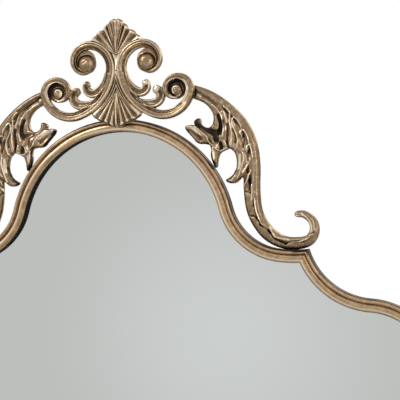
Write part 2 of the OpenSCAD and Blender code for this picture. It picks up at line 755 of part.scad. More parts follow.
module leaf() {
    color("sienna") facing() difference() {
        union() {
            sweep(leaf_route, leaf_section, leaf_back);
            translate([0, 0, leaf_back]) linear_extrude(leaf_d * 0.5)
                polygon([for (q = blade) on_arch(q[0], q[1])]);
            flute([[25, 72, 9], [29.6, 73, 10], [33, 76, 11], [35.8, 74, 12], [38.5, 68, 12], [40.8, 61, 12],
                [43, 53, 8]], leaf_d);
            flute([[27, 88, 9], [30.2, 89, 11], [34, 87, 13], [38, 81, 14], [41.5, 72, 15], [44.4, 62, 14],
                [47.3, 49, 7]], flute_d);
            flute([[34, 94, 8], [37.3, 92, 11], [41, 85, 14], [44, 74, 15], [47, 62, 14], [50, 47, 6]], flute_d);
            flute([[38, 96, 8], [41, 92, 11], [44.5, 85.5, 14], [47.4, 72, 15], [50.5, 58, 14], [53, 47.5, 6]],
                flute_d);
            flute([[41, 97.5, 8], [44.8, 93, 12], [48, 83, 14], [51, 70, 15], [54.4, 56, 13], [56, 48, 6]], flute_d);
            flute([[45.5, 96, 8], [49.5, 88, 13], [53, 75, 16], [56.5, 61, 16], [60, 47, 15], [63, 31, 12],
                [64.6, 17, 9], [64.2, 7.5, 6], [63.1, 1.1, 3]], flute_d);
            flute([[45.5, 40, 14], [47.5, 28, 17], [49.8, 17.5, 15], [52.3, 9.5, 10], [55.3, 1.5, 3]], leaf_d - 2);
            flute([[47, 37, 14], [43.8, 27, 20], [40.5, 19, 22], [37, 16.5, 17], [34.5, 17, 10], [32.4, 18, 2]],
                leaf_d + 1);
            flute([[46.5, 48, 13], [43.2, 38.5, 14], [40.2, 33.5, 13], [37.3, 33.5, 11], [35.4, 38.5, 7],
                [35, 45.5, 2]], leaf_d - 1);
            translate([root_screw_place.x, root_screw_place.y, leaf_back])
                cylinder(r = root_boss_r, h = crest_z - seat - leaf_back, $fn = 30);
        }
        translate([root_screw_place.x, root_screw_place.y, leaf_back - 1])
            cylinder(r = shank_r + hole_gap, h = crest_z, $fn = 16);
    }
}

color("peru") facing() left_side() arch_rail();  // left_arch_rail
color("peru") facing() arch_rail();  // right_arch_rail
color("peru") facing() left_side() wing_rail();  // left_wing_rail
color("peru") facing() wing_rail();  // right_wing_rail
color("peru") facing() left_side() stile();  // left_stile
color("peru") facing() stile();  // right_stile
color("peru") facing() bottom_rail_solid();  // bottom_rail
mirror_glass();
glass_seal();
backing_board();
top_joint_plate();
left_side() notch_plate();  // left_notch_plate
notch_plate();  // right_notch_plate
left_side() side_plate();  // left_side_plate
side_plate();  // right_side_plate
left_side() corner_plate();  // left_corner_plate
corner_plate();  // right_corner_plate
joint_plate_screws();
left_side() turn_button(0);  // left_arch_button
turn_button(0);  // right_arch_button
left_side() turn_button(1);  // left_wing_button
turn_button(1);  // right_wing_button
left_side() turn_button(2);  // left_side_button
turn_button(2);  // right_side_button
left_side() turn_button(3);  // left_bottom_button
turn_button(3);  // right_bottom_button
turn_button_screws();
left_side() hanger_strap();  // left_hanger_strap
hanger_strap();  // right_hanger_strap
left_side() hanger_ring();  // left_hanger_ring
hanger_ring();  // right_hanger_ring
hanger_screws();
wall_bumpers();
crest_bracket();
bracket_screws();
crest_screws();
leaf_screws();
top_palmette();
base_palmette();
left_side() scroll();  // left_scroll
scroll();  // right_scroll
left_side() leaf();  // left_leaf
leaf();  // right_leaf
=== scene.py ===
"""Looks of the wall mirror: its moulding, its cast crest and leaves, and the hardware behind.

Shapes are drawn in millimetres in the plane of the mirror, x across, y up and z towards the
room, and stand_up() turns that plane into the row frame in metres.
"""

import json
import math

import bmesh
import bpy
import numpy as np
from mathutils import Matrix, Vector

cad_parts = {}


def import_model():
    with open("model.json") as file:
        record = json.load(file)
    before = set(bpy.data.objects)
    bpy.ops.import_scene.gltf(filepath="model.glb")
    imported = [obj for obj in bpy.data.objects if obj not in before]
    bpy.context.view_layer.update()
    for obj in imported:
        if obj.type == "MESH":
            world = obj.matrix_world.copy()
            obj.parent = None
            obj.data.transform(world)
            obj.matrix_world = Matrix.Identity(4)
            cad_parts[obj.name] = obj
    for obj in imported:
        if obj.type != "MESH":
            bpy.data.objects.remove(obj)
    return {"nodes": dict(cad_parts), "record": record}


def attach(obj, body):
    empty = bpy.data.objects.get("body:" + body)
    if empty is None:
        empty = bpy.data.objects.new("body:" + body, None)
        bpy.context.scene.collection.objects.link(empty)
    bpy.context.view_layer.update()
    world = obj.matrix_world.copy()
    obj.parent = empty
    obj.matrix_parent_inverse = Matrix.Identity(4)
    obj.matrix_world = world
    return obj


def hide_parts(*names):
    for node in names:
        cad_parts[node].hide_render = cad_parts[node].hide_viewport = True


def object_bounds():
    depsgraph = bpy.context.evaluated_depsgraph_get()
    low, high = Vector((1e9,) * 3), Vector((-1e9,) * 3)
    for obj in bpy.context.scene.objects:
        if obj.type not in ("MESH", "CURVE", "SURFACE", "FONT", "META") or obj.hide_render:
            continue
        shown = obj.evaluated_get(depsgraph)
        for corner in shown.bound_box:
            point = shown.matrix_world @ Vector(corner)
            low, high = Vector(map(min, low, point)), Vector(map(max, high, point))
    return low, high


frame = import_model()
cad_box = [list(corner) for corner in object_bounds()]

# ---- sizes, as in the CAD source
arch_r, arch_turn = 197.0, 76.0
foot_r, foot_slope = 129.0, 8.0
ledge_r, ledge_rise = 232.0, 2.5
wing_slope, wing_r, wing_end = 66.0, 151.0, 4.0
shoulder_r, stile_len, stile_above_hook = 114.0, 492.0, 50.0
rail_w, rail_d, wall_d, lip_w, rebate_d = 24.0, 28.0, 21.0, 8.0, 10.0
bead_r, bead_in, band_w, band_d, band_r = 3.0, 5.0, 13.8, 24.5, 13.0
strip_w, strip_d, waist_up = 19.0, 12.0, 91.0
neck_r, crown_r, ball_turn_r = 45.0, 31.0, 23.0
sweep_r, loop_r, coil_r, eye_turn_r = 97.0, 52.0, 24.0, 16.0
ball_r, eye_r, crest_h = 19.0, 9.0, 186.0
leaf_d, leaf_back, leaf_up, leaf_w, tail_r = 16.0, 8.0, 88.0, 30.0, 27.0
bumper_h, seat = 8.0, 0.3
web_t = 3.0
MM = 0.001


def sin_d(a):
    return math.sin(math.radians(a))


def cos_d(a):
    return math.cos(math.radians(a))


def clamp(v):
    return np.clip(v, 0, 1)


def polar(c, r, a):
    return np.array([c[0] + r * sin_d(a), c[1] + r * cos_d(a)])


foot_0 = polar((0, 0), arch_r + foot_r, arch_turn)
ledge_0 = polar(foot_0, ledge_r - foot_r, foot_slope)
wing_0 = polar(polar(ledge_0, -ledge_r, -ledge_rise), wing_r, wing_slope)
shoulder_0 = polar(wing_0, -(wing_r + shoulder_r), wing_end)
arch_c = np.array([0, stile_above_hook - shoulder_0[1]])
foot_c, ledge_c, wing_c, shoulder_c = (c + arch_c for c in (foot_0, ledge_0, wing_0, shoulder_0))
side_x = shoulder_c[0] + shoulder_r
bottom_z = stile_above_hook - stile_len
arch_out = arch_r + rail_w
foot_out = foot_r - rail_w
ledge_out = ledge_r - rail_w
arch_top = np.array([0, arch_c[1] + arch_out])
crest_z = rail_d + 0.4


def on_arch(a, h):
    """The place over the arch at an angle from its top and a height over the moulding."""
    return polar(arch_c, arch_out + h, a)


def on_foot(a, h):
    return polar(foot_c, h - foot_out, a)


def on_ledge(a, h):
    return polar(ledge_c, h - ledge_out, a)


TAIL_TURN = -3.6
tail_foot = on_ledge(TAIL_TURN, 0)


def crossing(c0, r0, c1, r1):
    d = np.linalg.norm(c1 - c0)
    u = (c1 - c0) / d
    a = (r0 * r0 - r1 * r1 + d * d) / (2 * d)
    return c0 + a * u + math.sqrt(r0 * r0 - a * a) * np.array([u[1], -u[0]])


def heading(c, p):
    return math.degrees(math.atan2(c[0] - p[0], c[1] - p[1]))


def notch(n):
    return crossing(ledge_c, ledge_r - n, wing_c, wing_r - n)


notch_in = notch(0)
notch_dir = notch(rail_w) - notch_in
notch_dir /= np.linalg.norm(notch_dir)


# ---- meshes
def stand_up(points):
    """Plane coordinates in millimetres to the row frame in metres."""
    p = np.asarray(points, float)
    return np.stack([p[:, 0], -p[:, 2] - bumper_h, p[:, 1]], 1) * MM


def new_mesh(name, points, faces, mirrored=False):
    """A mesh from plane coordinates, with its normals made to point outwards."""
    p = stand_up(points)
    if mirrored:
        p[:, 0] = -p[:, 0]
    mesh = bpy.data.meshes.new(name)
    mesh.from_pydata(p.tolist(), [], [list(map(int, f)) for f in faces])
    bm = bmesh.new()
    bm.from_mesh(mesh)
    bmesh.ops.recalc_face_normals(bm, faces=bm.faces)
    bm.to_mesh(mesh)
    bm.free()
    return mesh


def tube_faces(rows, m):
    """Faces between the rings of m points of a solid along a route."""
    return [
        (i * m + j, i * m + (j + 1) % m, (i + 1) * m + (j + 1) % m, (i + 1) * m + j)
        for i in range(rows - 1)
        for j in range(m)
    ]


def placed(name, data):
    """An object of its own in the scene."""
    piece = bpy.data.objects.new(name, data)
    bpy.context.scene.collection.objects.link(piece)
    return piece


def new_piece(name, mesh, material, body, node, sharp):
    """A piece that stands for a CAD node; its edges are sharp from this angle on, or nowhere with 0."""
    piece = placed(name, mesh)
    mesh.shade_smooth()
    if sharp:
        mesh.set_sharp_from_angle(angle=math.radians(sharp))
    mesh.materials.clear()
    mesh.materials.append(material)
    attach(piece, body)
    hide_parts(node)


def keep(mesh, name, values, kind="FLOAT", key="value"):
    """Stores a number, or a vector, for each vertex."""
    layer = mesh.attributes.get(name) or mesh.attributes.new(name, kind, "POINT")
    layer.data.foreach_set(key, np.asarray(values, np.float32).ravel())


# ---- how the moulding is built
# Angles round the arch: from LEAN_FROM the painted highlight moves to the outer half, up to SHADE_TO the
# outer edge gets painted shade.
LEAN_FROM, LEAN_OVER = -12, 34
SHADE_TO, SHADE_OVER = 36, 16
# Reach of the painted shadow that the leaf's tail casts on the moulding.
TAIL_SHADOW_REACH = 19  # mm
CREST = 20  # a point of the profile that lies on the bead


def rail_profile(lean=0.0, shade=0.0):
    """The cross-section as (distance from the glass, height, tone): tone 1 is dark, below 0 bright; the tone
    is patina and rubbing together with painted shade and painted highlights.

    With lean 1 the painted highlight lies on the outer half, with shade 1 the outer edge gets painted shade.
    """
    bead_c = (rail_w - bead_in, rail_d - bead_r)
    band_c = (band_w / 2 + 1, band_d - band_r)
    half = math.degrees(math.acos(band_w / 2 / band_r))
    points = [(lip_w, 0, 0.6), (rail_w - 1, 0, 0.6), (rail_w - 0.3, 0.3, 0.4), (rail_w, 1, 0.4)]
    # The outer wall darkens towards its back, and its top edge is dark: painted shade.
    points += [(rail_w, z, 0.92 - 0.44 * (z / wall_d) ** 1.5) for z in np.linspace(3, wall_d - 1.5, 6)]
    points += [(rail_w - 0.1, wall_d - 0.7, 0.5), (rail_w - 0.5, wall_d, 0.5)]
    points.append((rail_w - 1.2, wall_d + 1.2, 0.75))
    # The bead's crest is bright: rubbed gilt with a painted highlight. With lean the bead but its outer side
    # is highlighted, and shade gives it painted shade.
    for a in np.linspace(-12, 192, 21):
        age_and_light = 0.6 if a < 10 else 0.15 if a > 165 else 0.12 - 0.62 * hump(a - 105, 34)
        age_and_light += lean * ((0.75 if a < 55 else -0.4) - age_and_light)
        age_and_light = max(age_and_light, (0.85 if a < 75 else 0.25) * shade)
        points.append((bead_c[0] + bead_r * cos_d(a), bead_c[1] + bead_r * sin_d(a), age_and_light))
    # The groove's patina: lighter under the painted highlight of lean, darker under the painted shade.
    groove_age_and_light = max(0.16 - 0.9 * lean, 0.3 * shade)
    points.append((bead_c[0] - bead_r - 0.9, bead_c[1] - bead_r + 0.45, groove_age_and_light))
    # On the band the bright stripes are painted highlights and the brown stripe is painted shade; lean moves
    # them outwards.
    for a in np.linspace(half + 1, 180 - half, 21):
        share = (a - half) / (180 - 2 * half)
        age_and_light = (0.15 * (1 - 3 * lean) + 0.15 * shade) * max(0.0, 1 - share * 8) + 0.05
        age_and_light += hump(share - 0.42 - 0.30 * lean, 0.11, 0.30)
        age_and_light -= hump(share - 0.22, 0.09, 0.16 * (1 - lean))
        age_and_light -= hump(share - 0.72 + 0.42 * lean, 0.15, 0.58)
        points.append((band_c[0] + band_r * cos_d(a), band_c[1] + band_r * sin_d(a), age_and_light))
    top = band_c[1] + band_r * sin_d(half)
    # The inner lip and the wall by the glass are dark: painted shade.
    points += [(0.35, top - 0.7, 0.1 + 0.4 * lean), (0.1, top - 1.6, 0.5), (0, top - 3, 0.95)]
    points += [(0, rebate_d + 1, 1.0), (0, rebate_d, 1.0), (lip_w, rebate_d, 0.9)]
    return points


def wear(p, side):
    """Where painted light falls on the moulding: a painted highlight on the outer half on the left flank,
    painted shade on the outer edge elsewhere.

    The angles are round the arch, in degrees from its top, and under the leaf's tail the moulding gets a
    painted shadow.
    """
    turn = math.degrees(math.atan2(side * p[0], p[1] - arch_c[1]))
    lean = clamp((LEAN_FROM - turn) / LEAN_OVER)
    shade = clamp((SHADE_TO - turn) / SHADE_OVER) * (1 - lean)
    # The painted shadow under the leaf's tail.
    contact = math.exp(-((math.dist(p[:2], tail_foot) / TAIL_SHADOW_REACH) ** 4))
    return lean, max(shade, contact)


def mitre_angle(c, r):
    """The angle at which an arc of radius r round c meets the mitre at the notch."""
    d = notch_in - c
    b = float(np.dot(d, notch_dir))
    root = math.sqrt(b * b - float(np.dot(d, d)) + r * r)
    places = [notch_in + t * notch_dir for t in (-b - root, -b + root)]
    return heading(c, min(places, key=lambda p: np.linalg.norm(p - notch_in)))


def bent_rail(spans):
    """Stations of a rail made of arcs: (centre, radius, side, start, end, steps)."""
    profile = rail_profile()
    rows, along, run = [], [], 0.0
    for c, r, side, a0, a1, steps in spans:
        for i in range(1 if rows else 0, steps + 1):
            t = i / steps
            row = []
            for n, z, _ in profile:
                radius = r + side * n
                start = a0(radius) if callable(a0) else a0
                end = a1(radius) if callable(a1) else a1
                p = polar(c, side * radius, start + (end - start) * t)
                row.append((p[0], p[1], z))
            rows.append(row)
            if len(rows) > 1:
                run += math.dist(rows[-1][CREST][:2], rows[-2][CREST][:2])
            along.append(run)
    return rows, along


def straight_rail(start, end, steps):
    """Stations of a straight rail; start and end give the place of a point n from the glass."""
    rows, along = [], []
    for i in range(steps + 1):
        t = i / steps
        rows.append([(*(start(n) * (1 - t) + end(n) * t), z) for n, z, _ in rail_profile()])
        along.append(t * math.dist(start(0), end(0)))
    return rows, along


def rail(name, rows, along, mirrored=False):
    profile = rail_profile()
    m = len(profile)
    points = [p for row in rows for p in row]
    faces = tube_faces(len(rows), m) + [range(m), range(len(points) - m, len(points))]
    mesh = new_mesh(name + "_moulding", points, faces, mirrored)
    across = np.cumsum([0] + [math.dist(profile[j][:2], profile[j - 1][:2]) for j in range(1, m)])
    side = -1 if mirrored else 1
    # Each station's tone takes its painted highlight and painted shade from its place round the arch.
    ages = np.array([[q[2] for q in rail_profile(*wear(row[CREST], side))] for row in rows]).ravel()
    keep(mesh, "age_and_light", np.maximum(ages, 0))
    keep(mesh, "hollow", np.minimum(ages, 0))
    run = [(side * s * MM, a * MM, 0) for s in along for a in across]
    keep(mesh, "run", run, "FLOAT_VECTOR", "vector")
    new_piece(name + "_moulding", mesh, moulding_gold, "frame", name, 50)


# ---- routes of the castings
def turn_left(p, a, r):
    """The point at a distance r to the left of p, for a traveller whose direction is a."""
    return np.asarray(p, float) + r * np.array([-sin_d(a), cos_d(a)])


def chain(p, a, w, arcs, step=3.0):
    """Stations (x, y, direction, width) along arcs (radius, turn, end width) that follow each other."""
    made = []
    for r, turn, w1 in arcs:
        c = turn_left(p, a, r)
        steps = max(2, math.ceil(abs(turn) / step))
        for i in range(1 if made else 0, steps + 1):
            k = i / steps
            made.append((*turn_left(c, a + turn * k, -r), a + turn * k, w + (w1 - w) * k))
        *p, a, w = made[-1]
    return made


def smooth(points, steps):
    """Catmull-Rom curve through rows of numbers."""
    p = np.asarray(points, float)
    made = []
    for i in range(len(p) - 1):
        a, b, c, d = p[max(i - 1, 0)], p[i], p[i + 1], p[min(i + 2, len(p) - 1)]
        for k in range(steps):
            t = k / steps
            bend, twist = 2 * a - 5 * b + 4 * c - d, 3 * b - a - 3 * c + d
            made.append(0.5 * (2 * b + (c - a) * t + bend * t * t + twist * t**3))
    made.append(p[-1])
    return np.array(made)


def stations(points):
    """Adds the direction of travel to a curve of (x, y, width)."""
    made = []
    for i in range(len(points)):
        d = points[min(i + 1, len(points) - 1)] - points[max(i - 1, 0)]
        made.append((points[i][0], points[i][1], math.degrees(math.atan2(d[1], d[0])), points[i][2]))
    return made


def beside(route, share):
    """The line along a route that lies this share of its width to the right of it."""
    return np.array([(x + share * w * sin_d(a), y - share * w * cos_d(a)) for x, y, a, w in route])


def away(p, c):
    return np.hypot(*(p - c).T)


def from_curve(p, line, reach):
    """Distance of each point of p from a curve, or any larger number beyond the reach."""
    best = np.full(len(p), 1e3)
    near = np.nonzero(np.all((p > line.min(0) - reach) & (p < line.max(0) + reach), 1))[0]
    q, found = p[near], best[near]
    for a, b in zip(line, line[1:]):
        d = b - a
        t = clamp(((q - a) @ d) / max(d @ d, 1e-9))
        found = np.minimum(found, np.hypot(*(q - a - t[:, None] * d).T))
    best[near] = found
    return best


def hump(distance, width, height=1):
    return height * np.exp(-((distance / width) ** 2))


def stroke(p, line, reach, width, height=1):
    """A soft hump along a curve, for each point of p."""
    return hump(from_curve(p, line, reach), width, height)


def circle(c, r, around):
    turns = [360 * i / around for i in range(around)]
    return [(c[0] + r * cos_d(a), c[1] + r * sin_d(a)) for a in turns]


def grid(low, high, step):
    return np.meshgrid(*(np.arange(a, b + step, step) for a, b in zip(low, high)))


class Casting:
    """Closed solids that together make one casting."""

    def __init__(self):
        self.points, self.faces = [], []

    def add(self, points, faces):
        base = len(self.points)
        self.points += [tuple(p) for p in points]
        self.faces += [tuple(base + i for i in f) for f in faces]

    def close(self, points, m):
        """A solid from rings of m points, with its two ends."""
        ends = [range(m - 1, -1, -1), range(len(points) - m, len(points))]
        self.add(points, tube_faces(len(points) // m, m) + ends)

    def sweep(self, route, profile, z, depth, round_start=False, round_end=False, sink=None):
        """A solid along a route; the profile is (share of the width, share of the depth)."""
        last = len(route) - 1
        rows = [(*place, sink(i / last) if sink else 1.0) for i, place in enumerate(route)]
        if round_end:
            rows += rounded(rows[-1], 1)
        if round_start:
            rows = rounded(rows[0], -1)[::-1] + rows
        shapes = [profile(i / (len(rows) - 1)) if callable(profile) else profile for i in range(len(rows))]
        points = [
            (x + s * w * sin_d(a), y - s * w * cos_d(a), z + h * depth * k)
            for (x, y, a, w, k), shape in zip(rows, shapes)
            for s, h in shape
        ]
        self.close(points, len(shapes[0]))

    def dome(self, c, r, z, depth, rings=14, around=48):
        """A ball cut flat at the back."""
        low = math.degrees(math.asin(max(-1.0, (r - depth) / r)))
        points = [(c[0], c[1], z)]
        levels = np.linspace(low, 90, rings)[:-1]
        for b in levels:
            points += [(x, y, z + depth - r + r * sin_d(b)) for x, y in circle(c, r * cos_d(b), around)]
        points.append((c[0], c[1], z + depth))
        faces = [(0, 1 + (i + 1) % around, 1 + i) for i in range(around)]
        faces += [[1 + i for i in face] for face in tube_faces(len(levels), around)]
        last = 1 + (len(levels) - 1) * around
        faces += [(last + i, last + (i + 1) % around, len(points) - 1) for i in range(around)]
        self.add(points, faces)

    def disc(self, c, r, z, depth, around=60):
        ring = circle(c, r, around)
        self.close([(x, y, h) for h in (z, z + depth) for x, y in ring], around)

    def field(self, x, y, front, back, shown):
        """A solid between two heights over the cells of a grid that are wholly shown."""
        cells = shown[:-1, :-1] & shown[1:, :-1] & shown[:-1, 1:] & shown[1:, 1:]
        index = -np.ones(x.shape, int)
        used = np.zeros(x.shape, bool)
        for dy, dx in ((0, 0), (1, 0), (0, 1), (1, 1)):
            used[dy : dy + cells.shape[0], dx : dx + cells.shape[1]] |= cells
        count = int(used.sum())
        index[used] = np.arange(count)
        over = np.stack([x[used], y[used], front[used]], 1)
        under = np.stack([x[used], y[used], np.full(count, back)], 1)
        faces = []
        padded = np.pad(cells, 1)
        for i, j in zip(*np.nonzero(cells)):
            a, b, c, d = index[i, j], index[i, j + 1], index[i + 1, j + 1], index[i + 1, j]
            faces += [(a, b, c, d), (count + d, count + c, count + b, count + a)]
            for di, dj, p, q in ((-1, 0, a, b), (1, 0, c, d), (0, -1, d, a), (0, 1, b, c)):
                if not padded[i + 1 + di, j + 1 + dj]:
                    faces.append((p, count + p, count + q, q))
        self.add(np.concatenate([over, under]), faces)

    def pillow(self, outline, z, depth, soft, edge=3.0, grow=0.9, step=0.8):
        """A slab inside a smooth outline, its front rounded over the width soft."""
        ring = np.array(outline)
        ahead, behind = np.roll(ring, -1, 0), np.roll(ring, 1, 0)
        way = ahead - behind
        swing = np.sign(np.sum(ring[:, 0] * ahead[:, 1] - ring[:, 1] * ahead[:, 0]))
        ring = ring + swing * grow * np.stack([way[:, 1], -way[:, 0]], 1) / np.hypot(*way.T)[:, None]
        ring = smooth(np.concatenate([ring[-1:], ring, ring[:2]]), 5)[5:-5]
        x, y = grid(ring.min(0) - step, ring.max(0), step)
        inside = np.zeros(x.shape, bool)
        for (x0, y0), (x1, y1) in zip(ring, ring[1:]):
            if y0 != y1:
                inside ^= ((y0 > y) != (y1 > y)) & (x < x0 + (y - y0) * (x1 - x0) / (y1 - y0))
        far = from_curve(np.stack([x.ravel(), y.ravel()], 1), ring, soft).reshape(x.shape)
        front = edge + (depth - edge) * np.sqrt(1 - (1 - clamp(far / soft)) ** 2)
        self.field(x, y, z + front, z, inside)

    def mesh(self, name, voxel, rounds, relief=None):
        """One skin round all the solids, smoothed and carved."""
        rough = placed(name + "_rough", new_mesh(name + "_rough", self.points, self.faces))
        skin = rough.modifiers.new("skin", "REMESH")
        skin.mode = "VOXEL"
        skin.voxel_size = voxel * MM
        skin.adaptivity = 0
        graph = bpy.context.evaluated_depsgraph_get()
        mesh = bpy.data.meshes.new_from_object(rough.evaluated_get(graph))
        bpy.data.objects.remove(rough)
        mesh.name = name
        edges = edge_ends(mesh)
        co = relax(coordinates(mesh), edges, 0.5, rounds)
        put(mesh, co)
        if relief:
            facing = clamp(-normals(mesh)[:, 1] * 2.5 - 0.4)
            co[:, 1] -= relief(in_plane(co)) * facing * MM
            put(mesh, relax(co, edges, 0.4, 3))
        return mesh


def rounded(row, way):
    """Stations that close a strip with a round nose."""
    x, y, a, w, high = row
    made = []
    for b in (20, 40, 58, 72, 83, 89):
        reach = way * 0.5 * w * sin_d(b)
        low = high * (0.45 + 0.55 * cos_d(b))
        made.append((x + reach * cos_d(a), y + reach * sin_d(a), a, w * cos_d(b), low))
    return made


def read(data, key, wide, kind):
    """Rows of numbers from a mesh."""
    values = np.empty(len(data) * wide, kind)
    data.foreach_get(key, values)
    return values.reshape(-1, wide)


def coordinates(mesh):
    return read(mesh.vertices, "co", 3, np.float32).astype(float)


def in_plane(co):
    """Millimetres in the plane of the mirror, for vertices in metres: x and y."""
    return co[:, [0, 2]] / MM


def put(mesh, co):
    mesh.vertices.foreach_set("co", co.astype(np.float32).ravel())
    mesh.update()


def normals(mesh):
    return read(mesh.vertex_normals, "vector", 3, np.float32).astype(float)


def edge_ends(mesh):
    return read(mesh.edges, "vertices", 2, np.int32)


def blur(values, edges, rounds):
    """Averages each vertex's numbers over its neighbours."""
    n = len(values)
    a, b = edges[:, 0], edges[:, 1]
    count = np.bincount(a, minlength=n) + np.bincount(b, minlength=n)
    count = np.maximum(count, 1)
    v = values if values.ndim == 2 else values[:, None]
    for _ in range(rounds):
        sums = [np.bincount(a, v[b, k], n) + np.bincount(b, v[a, k], n) for k in range(v.shape[1])]
        v = np.stack([total / count for total in sums], 1)
    return v if values.ndim == 2 else v[:, 0]


def relax(co, edges, pull, rounds):
    """Draws each vertex towards its neighbours."""
    for _ in range(rounds):
        co = (1 - pull) * co + pull * blur(co, edges, 1)
    return co


def hollows(mesh, rounds, dark, bright):
    """How far each vertex lies in a hollow, in millimetres, or below zero on a ridge."""
    co, edges = coordinates(mesh), edge_ends(mesh)
    depth = np.einsum("ij,ij->i", blur(co, edges, rounds) - co, normals(mesh)) / MM
    depth = blur(depth, edges, 12)
    return (np.where(depth > 0, dark, bright) * depth).astype(np.float32)


BACK_AGE = 0.5  # brown


def mark(mesh, values):
    """Keeps the patina, wear and painted light of a casting; its flat back stays brown all over."""
    front = clamp(1.2 - 2 * normals(mesh)[:, 1])
    keep(mesh, "hollow", values * front + BACK_AGE * (1 - front))


def both_hands(name, mesh, left_hollow_and_light):
    """The right-hand piece and its mirror image, which has its own painted light and wear."""
    co = coordinates(mesh)
    co[:, 0] = -co[:, 0]
    other = mesh.copy()
    put(other, co)
    other.flip_normals()
    mark(other, left_hollow_and_light)
    for side, data in (("left", other), ("right", mesh)):
        data.name = node = f"{side}_{name}"
        new_piece(node + "_casting", data, casting_gold, "frame", node, 0)


# ---- procedural materials
class Graph:
    """Nodes of a material or world, with a shorthand to add and link them."""

    def __init__(self, owner):
        owner.use_nodes = True
        self.tree = owner.node_tree
        self.tree.nodes.clear()

    def add(self, kind, values=None, **facts):
        made = self.tree.nodes.new("ShaderNode" + kind)
        for key, value in facts.items():
            setattr(made, key, value)
        for key, value in (values or {}).items():
            self.fill(made.inputs[key], value)
        return made

    def fill(self, socket, value):
        if hasattr(value, "links"):
            self.tree.links.new(value, socket)
        else:
            socket.default_value = value

    def attribute(self, name, kind="Fac"):
        return self.add("Attribute", attribute_name=name).outputs[kind]

    def place(self):
        return self.add("TexCoord").outputs["Object"]

    def noise(self, scale, detail=3.0, rough=0.55, where=None, stretch=None):
        """Noise in metres on the piece, or over another vector, stretched by a scale for each axis."""
        where = where or self.place()
        if stretch:
            where = self.add("Mapping", {"Vector": where, "Scale": stretch}).outputs[0]
        values = {"Vector": where, "Scale": scale, "Detail": detail, "Roughness": rough}
        return self.add("TexNoise", values).outputs["Fac"]

    def ramp(self, value, low, high, to_low=0.0, to_high=1.0):
        values = {"Value": value, "From Min": low, "From Max": high, "To Min": to_low, "To Max": to_high}
        return self.add("MapRange", values, interpolation_type="SMOOTHSTEP").outputs[0]

    def math(self, kind, a, b=0.0, clamp=False):
        return self.add("Math", {0: a, 1: b}, operation=kind, use_clamp=clamp).outputs[0]

    def mix(self, share, a, b):
        a, b = ((*c, 1.0) if isinstance(c, tuple) else c for c in (a, b))
        return self.add("Mix", {0: share, 6: a, 7: b}, data_type="RGBA").outputs[2]

    def bump(self, height, distance):
        return self.add("Bump", {"Height": height, "Distance": distance}).outputs[0]


class Surface(Graph):
    """A material with one shader, whose sockets set() fills; set() gives the material."""

    def __init__(self, name):
        self.material = bpy.data.materials.new(name)
        super().__init__(self.material)
        self.shader = self.add("BsdfPrincipled")
        self.add("OutputMaterial", {"Surface": self.shader.outputs[0]})

    def set(self, **values):
        for key, value in values.items():
            self.fill(self.shader.inputs[key.replace("_", " ")], value)
        return self.material

    def coat(self, colour, grain, low, high, **more):
        """A colour whose roughness goes from low to high with the grain."""
        return self.set(Base_Color=colour, Roughness=self.ramp(grain, 0.3, 0.7, low, high), **more)


GOLD = (0.262, 0.177, 0.102)
CREAM = (0.74, 0.62, 0.46)
BROWN = (0.155, 0.100, 0.056)
PATINA = (0.0115, 0.0108, 0.0112)


def aged_gold(name, gold, source, young, most, streaks=None):
    """Old gold: patina in the hollows, rubbed bright on the ridges, painted shade from ambient occlusion in
    corners and creases, and the painted shade and highlights that its attributes carry.

    Its age comes from the attribute source, from young on, and gets no darker than most.
    """
    g = Surface(name)
    age_and_light = g.ramp(g.attribute(source), young, 1.0, 0.0, most)
    blotch = g.noise(55, 4, 0.6)
    fine = g.noise(420, 3, 0.6)
    grain = g.noise(1500, 2, 0.5)
    # Ambient occlusion darkens corners, creases and the places where parts meet: painted shade.
    contact = g.add("AmbientOcclusion", {"Distance": 0.012}, samples=8).outputs["AO"]
    shade = g.ramp(contact, 0.10, 0.66, 0.85, 0.0)
    worn = g.math("MULTIPLY", g.math("SUBTRACT", blotch, 0.5), 0.5)
    bright = g.attribute("hollow")
    lifted = g.math("MULTIPLY", g.math("MINIMUM", bright, 0.0), 0.5)
    dark = g.math("ADD", g.math("ADD", age_and_light, lifted), g.math("ADD", shade, worn), clamp=True)
    speckle = g.ramp(fine, 0.42, 0.72)
    cloud = g.noise(150, 3, 0.5)
    colour = g.mix(g.ramp(cloud, 0.5, 0.35, 0.0, 0.3), gold, CREAM)
    colour = g.mix(g.ramp(blotch, 0.35, 0.7, 0.0, 0.4), colour, BROWN)
    if streaks:
        colour = g.mix(g.ramp(streaks(g), 0.4, 0.68, 0.0, 0.45), colour, BROWN)
    colour = g.mix(g.ramp(dark, 0.12, 0.55), colour, BROWN)
    colour = g.mix(g.ramp(dark, 0.45, 0.95), colour, PATINA)
    # Rubbed gilt on the ridges and the painted highlights in the hollow attribute turn cream.
    rubbed_and_highlit = g.math("MULTIPLY", g.ramp(bright, -0.08, -0.50), g.math("SUBTRACT", 1.0, dark, clamp=True))
    rubbed_and_highlit = g.math("MULTIPLY", rubbed_and_highlit, g.ramp(blotch, 0.25, 0.62, 0.55, 0.95))
    colour = g.mix(rubbed_and_highlit, colour, CREAM)
    colour = g.mix(g.math("MULTIPLY", speckle, 0.10), colour, PATINA)
    rough = g.math("ADD", g.ramp(dark, 0.1, 0.9, 0.29, 0.55), g.ramp(fine, 0.3, 0.7, -0.04, 0.06))
    g.set(Base_Color=colour, Roughness=rough, Metallic=g.ramp(dark, 0.3, 1.0, 1.0, 0.45))
    g.set(Specular_IOR_Level=g.ramp(dark, 0.4, 1.0, 0.5, 0.15), Specular_Tint=(0.46, 0.44, 0.42, 1.0))
    return g.set(Normal=g.bump(g.math("ADD", fine, g.math("MULTIPLY", grain, 0.4)), 0.0001))


def lengthwise(g):
    """Streaks that run along a length of moulding."""
    return g.noise(1.0, 4, 0.6, g.attribute("run", "Vector"), (9.0, 420.0, 1.0))


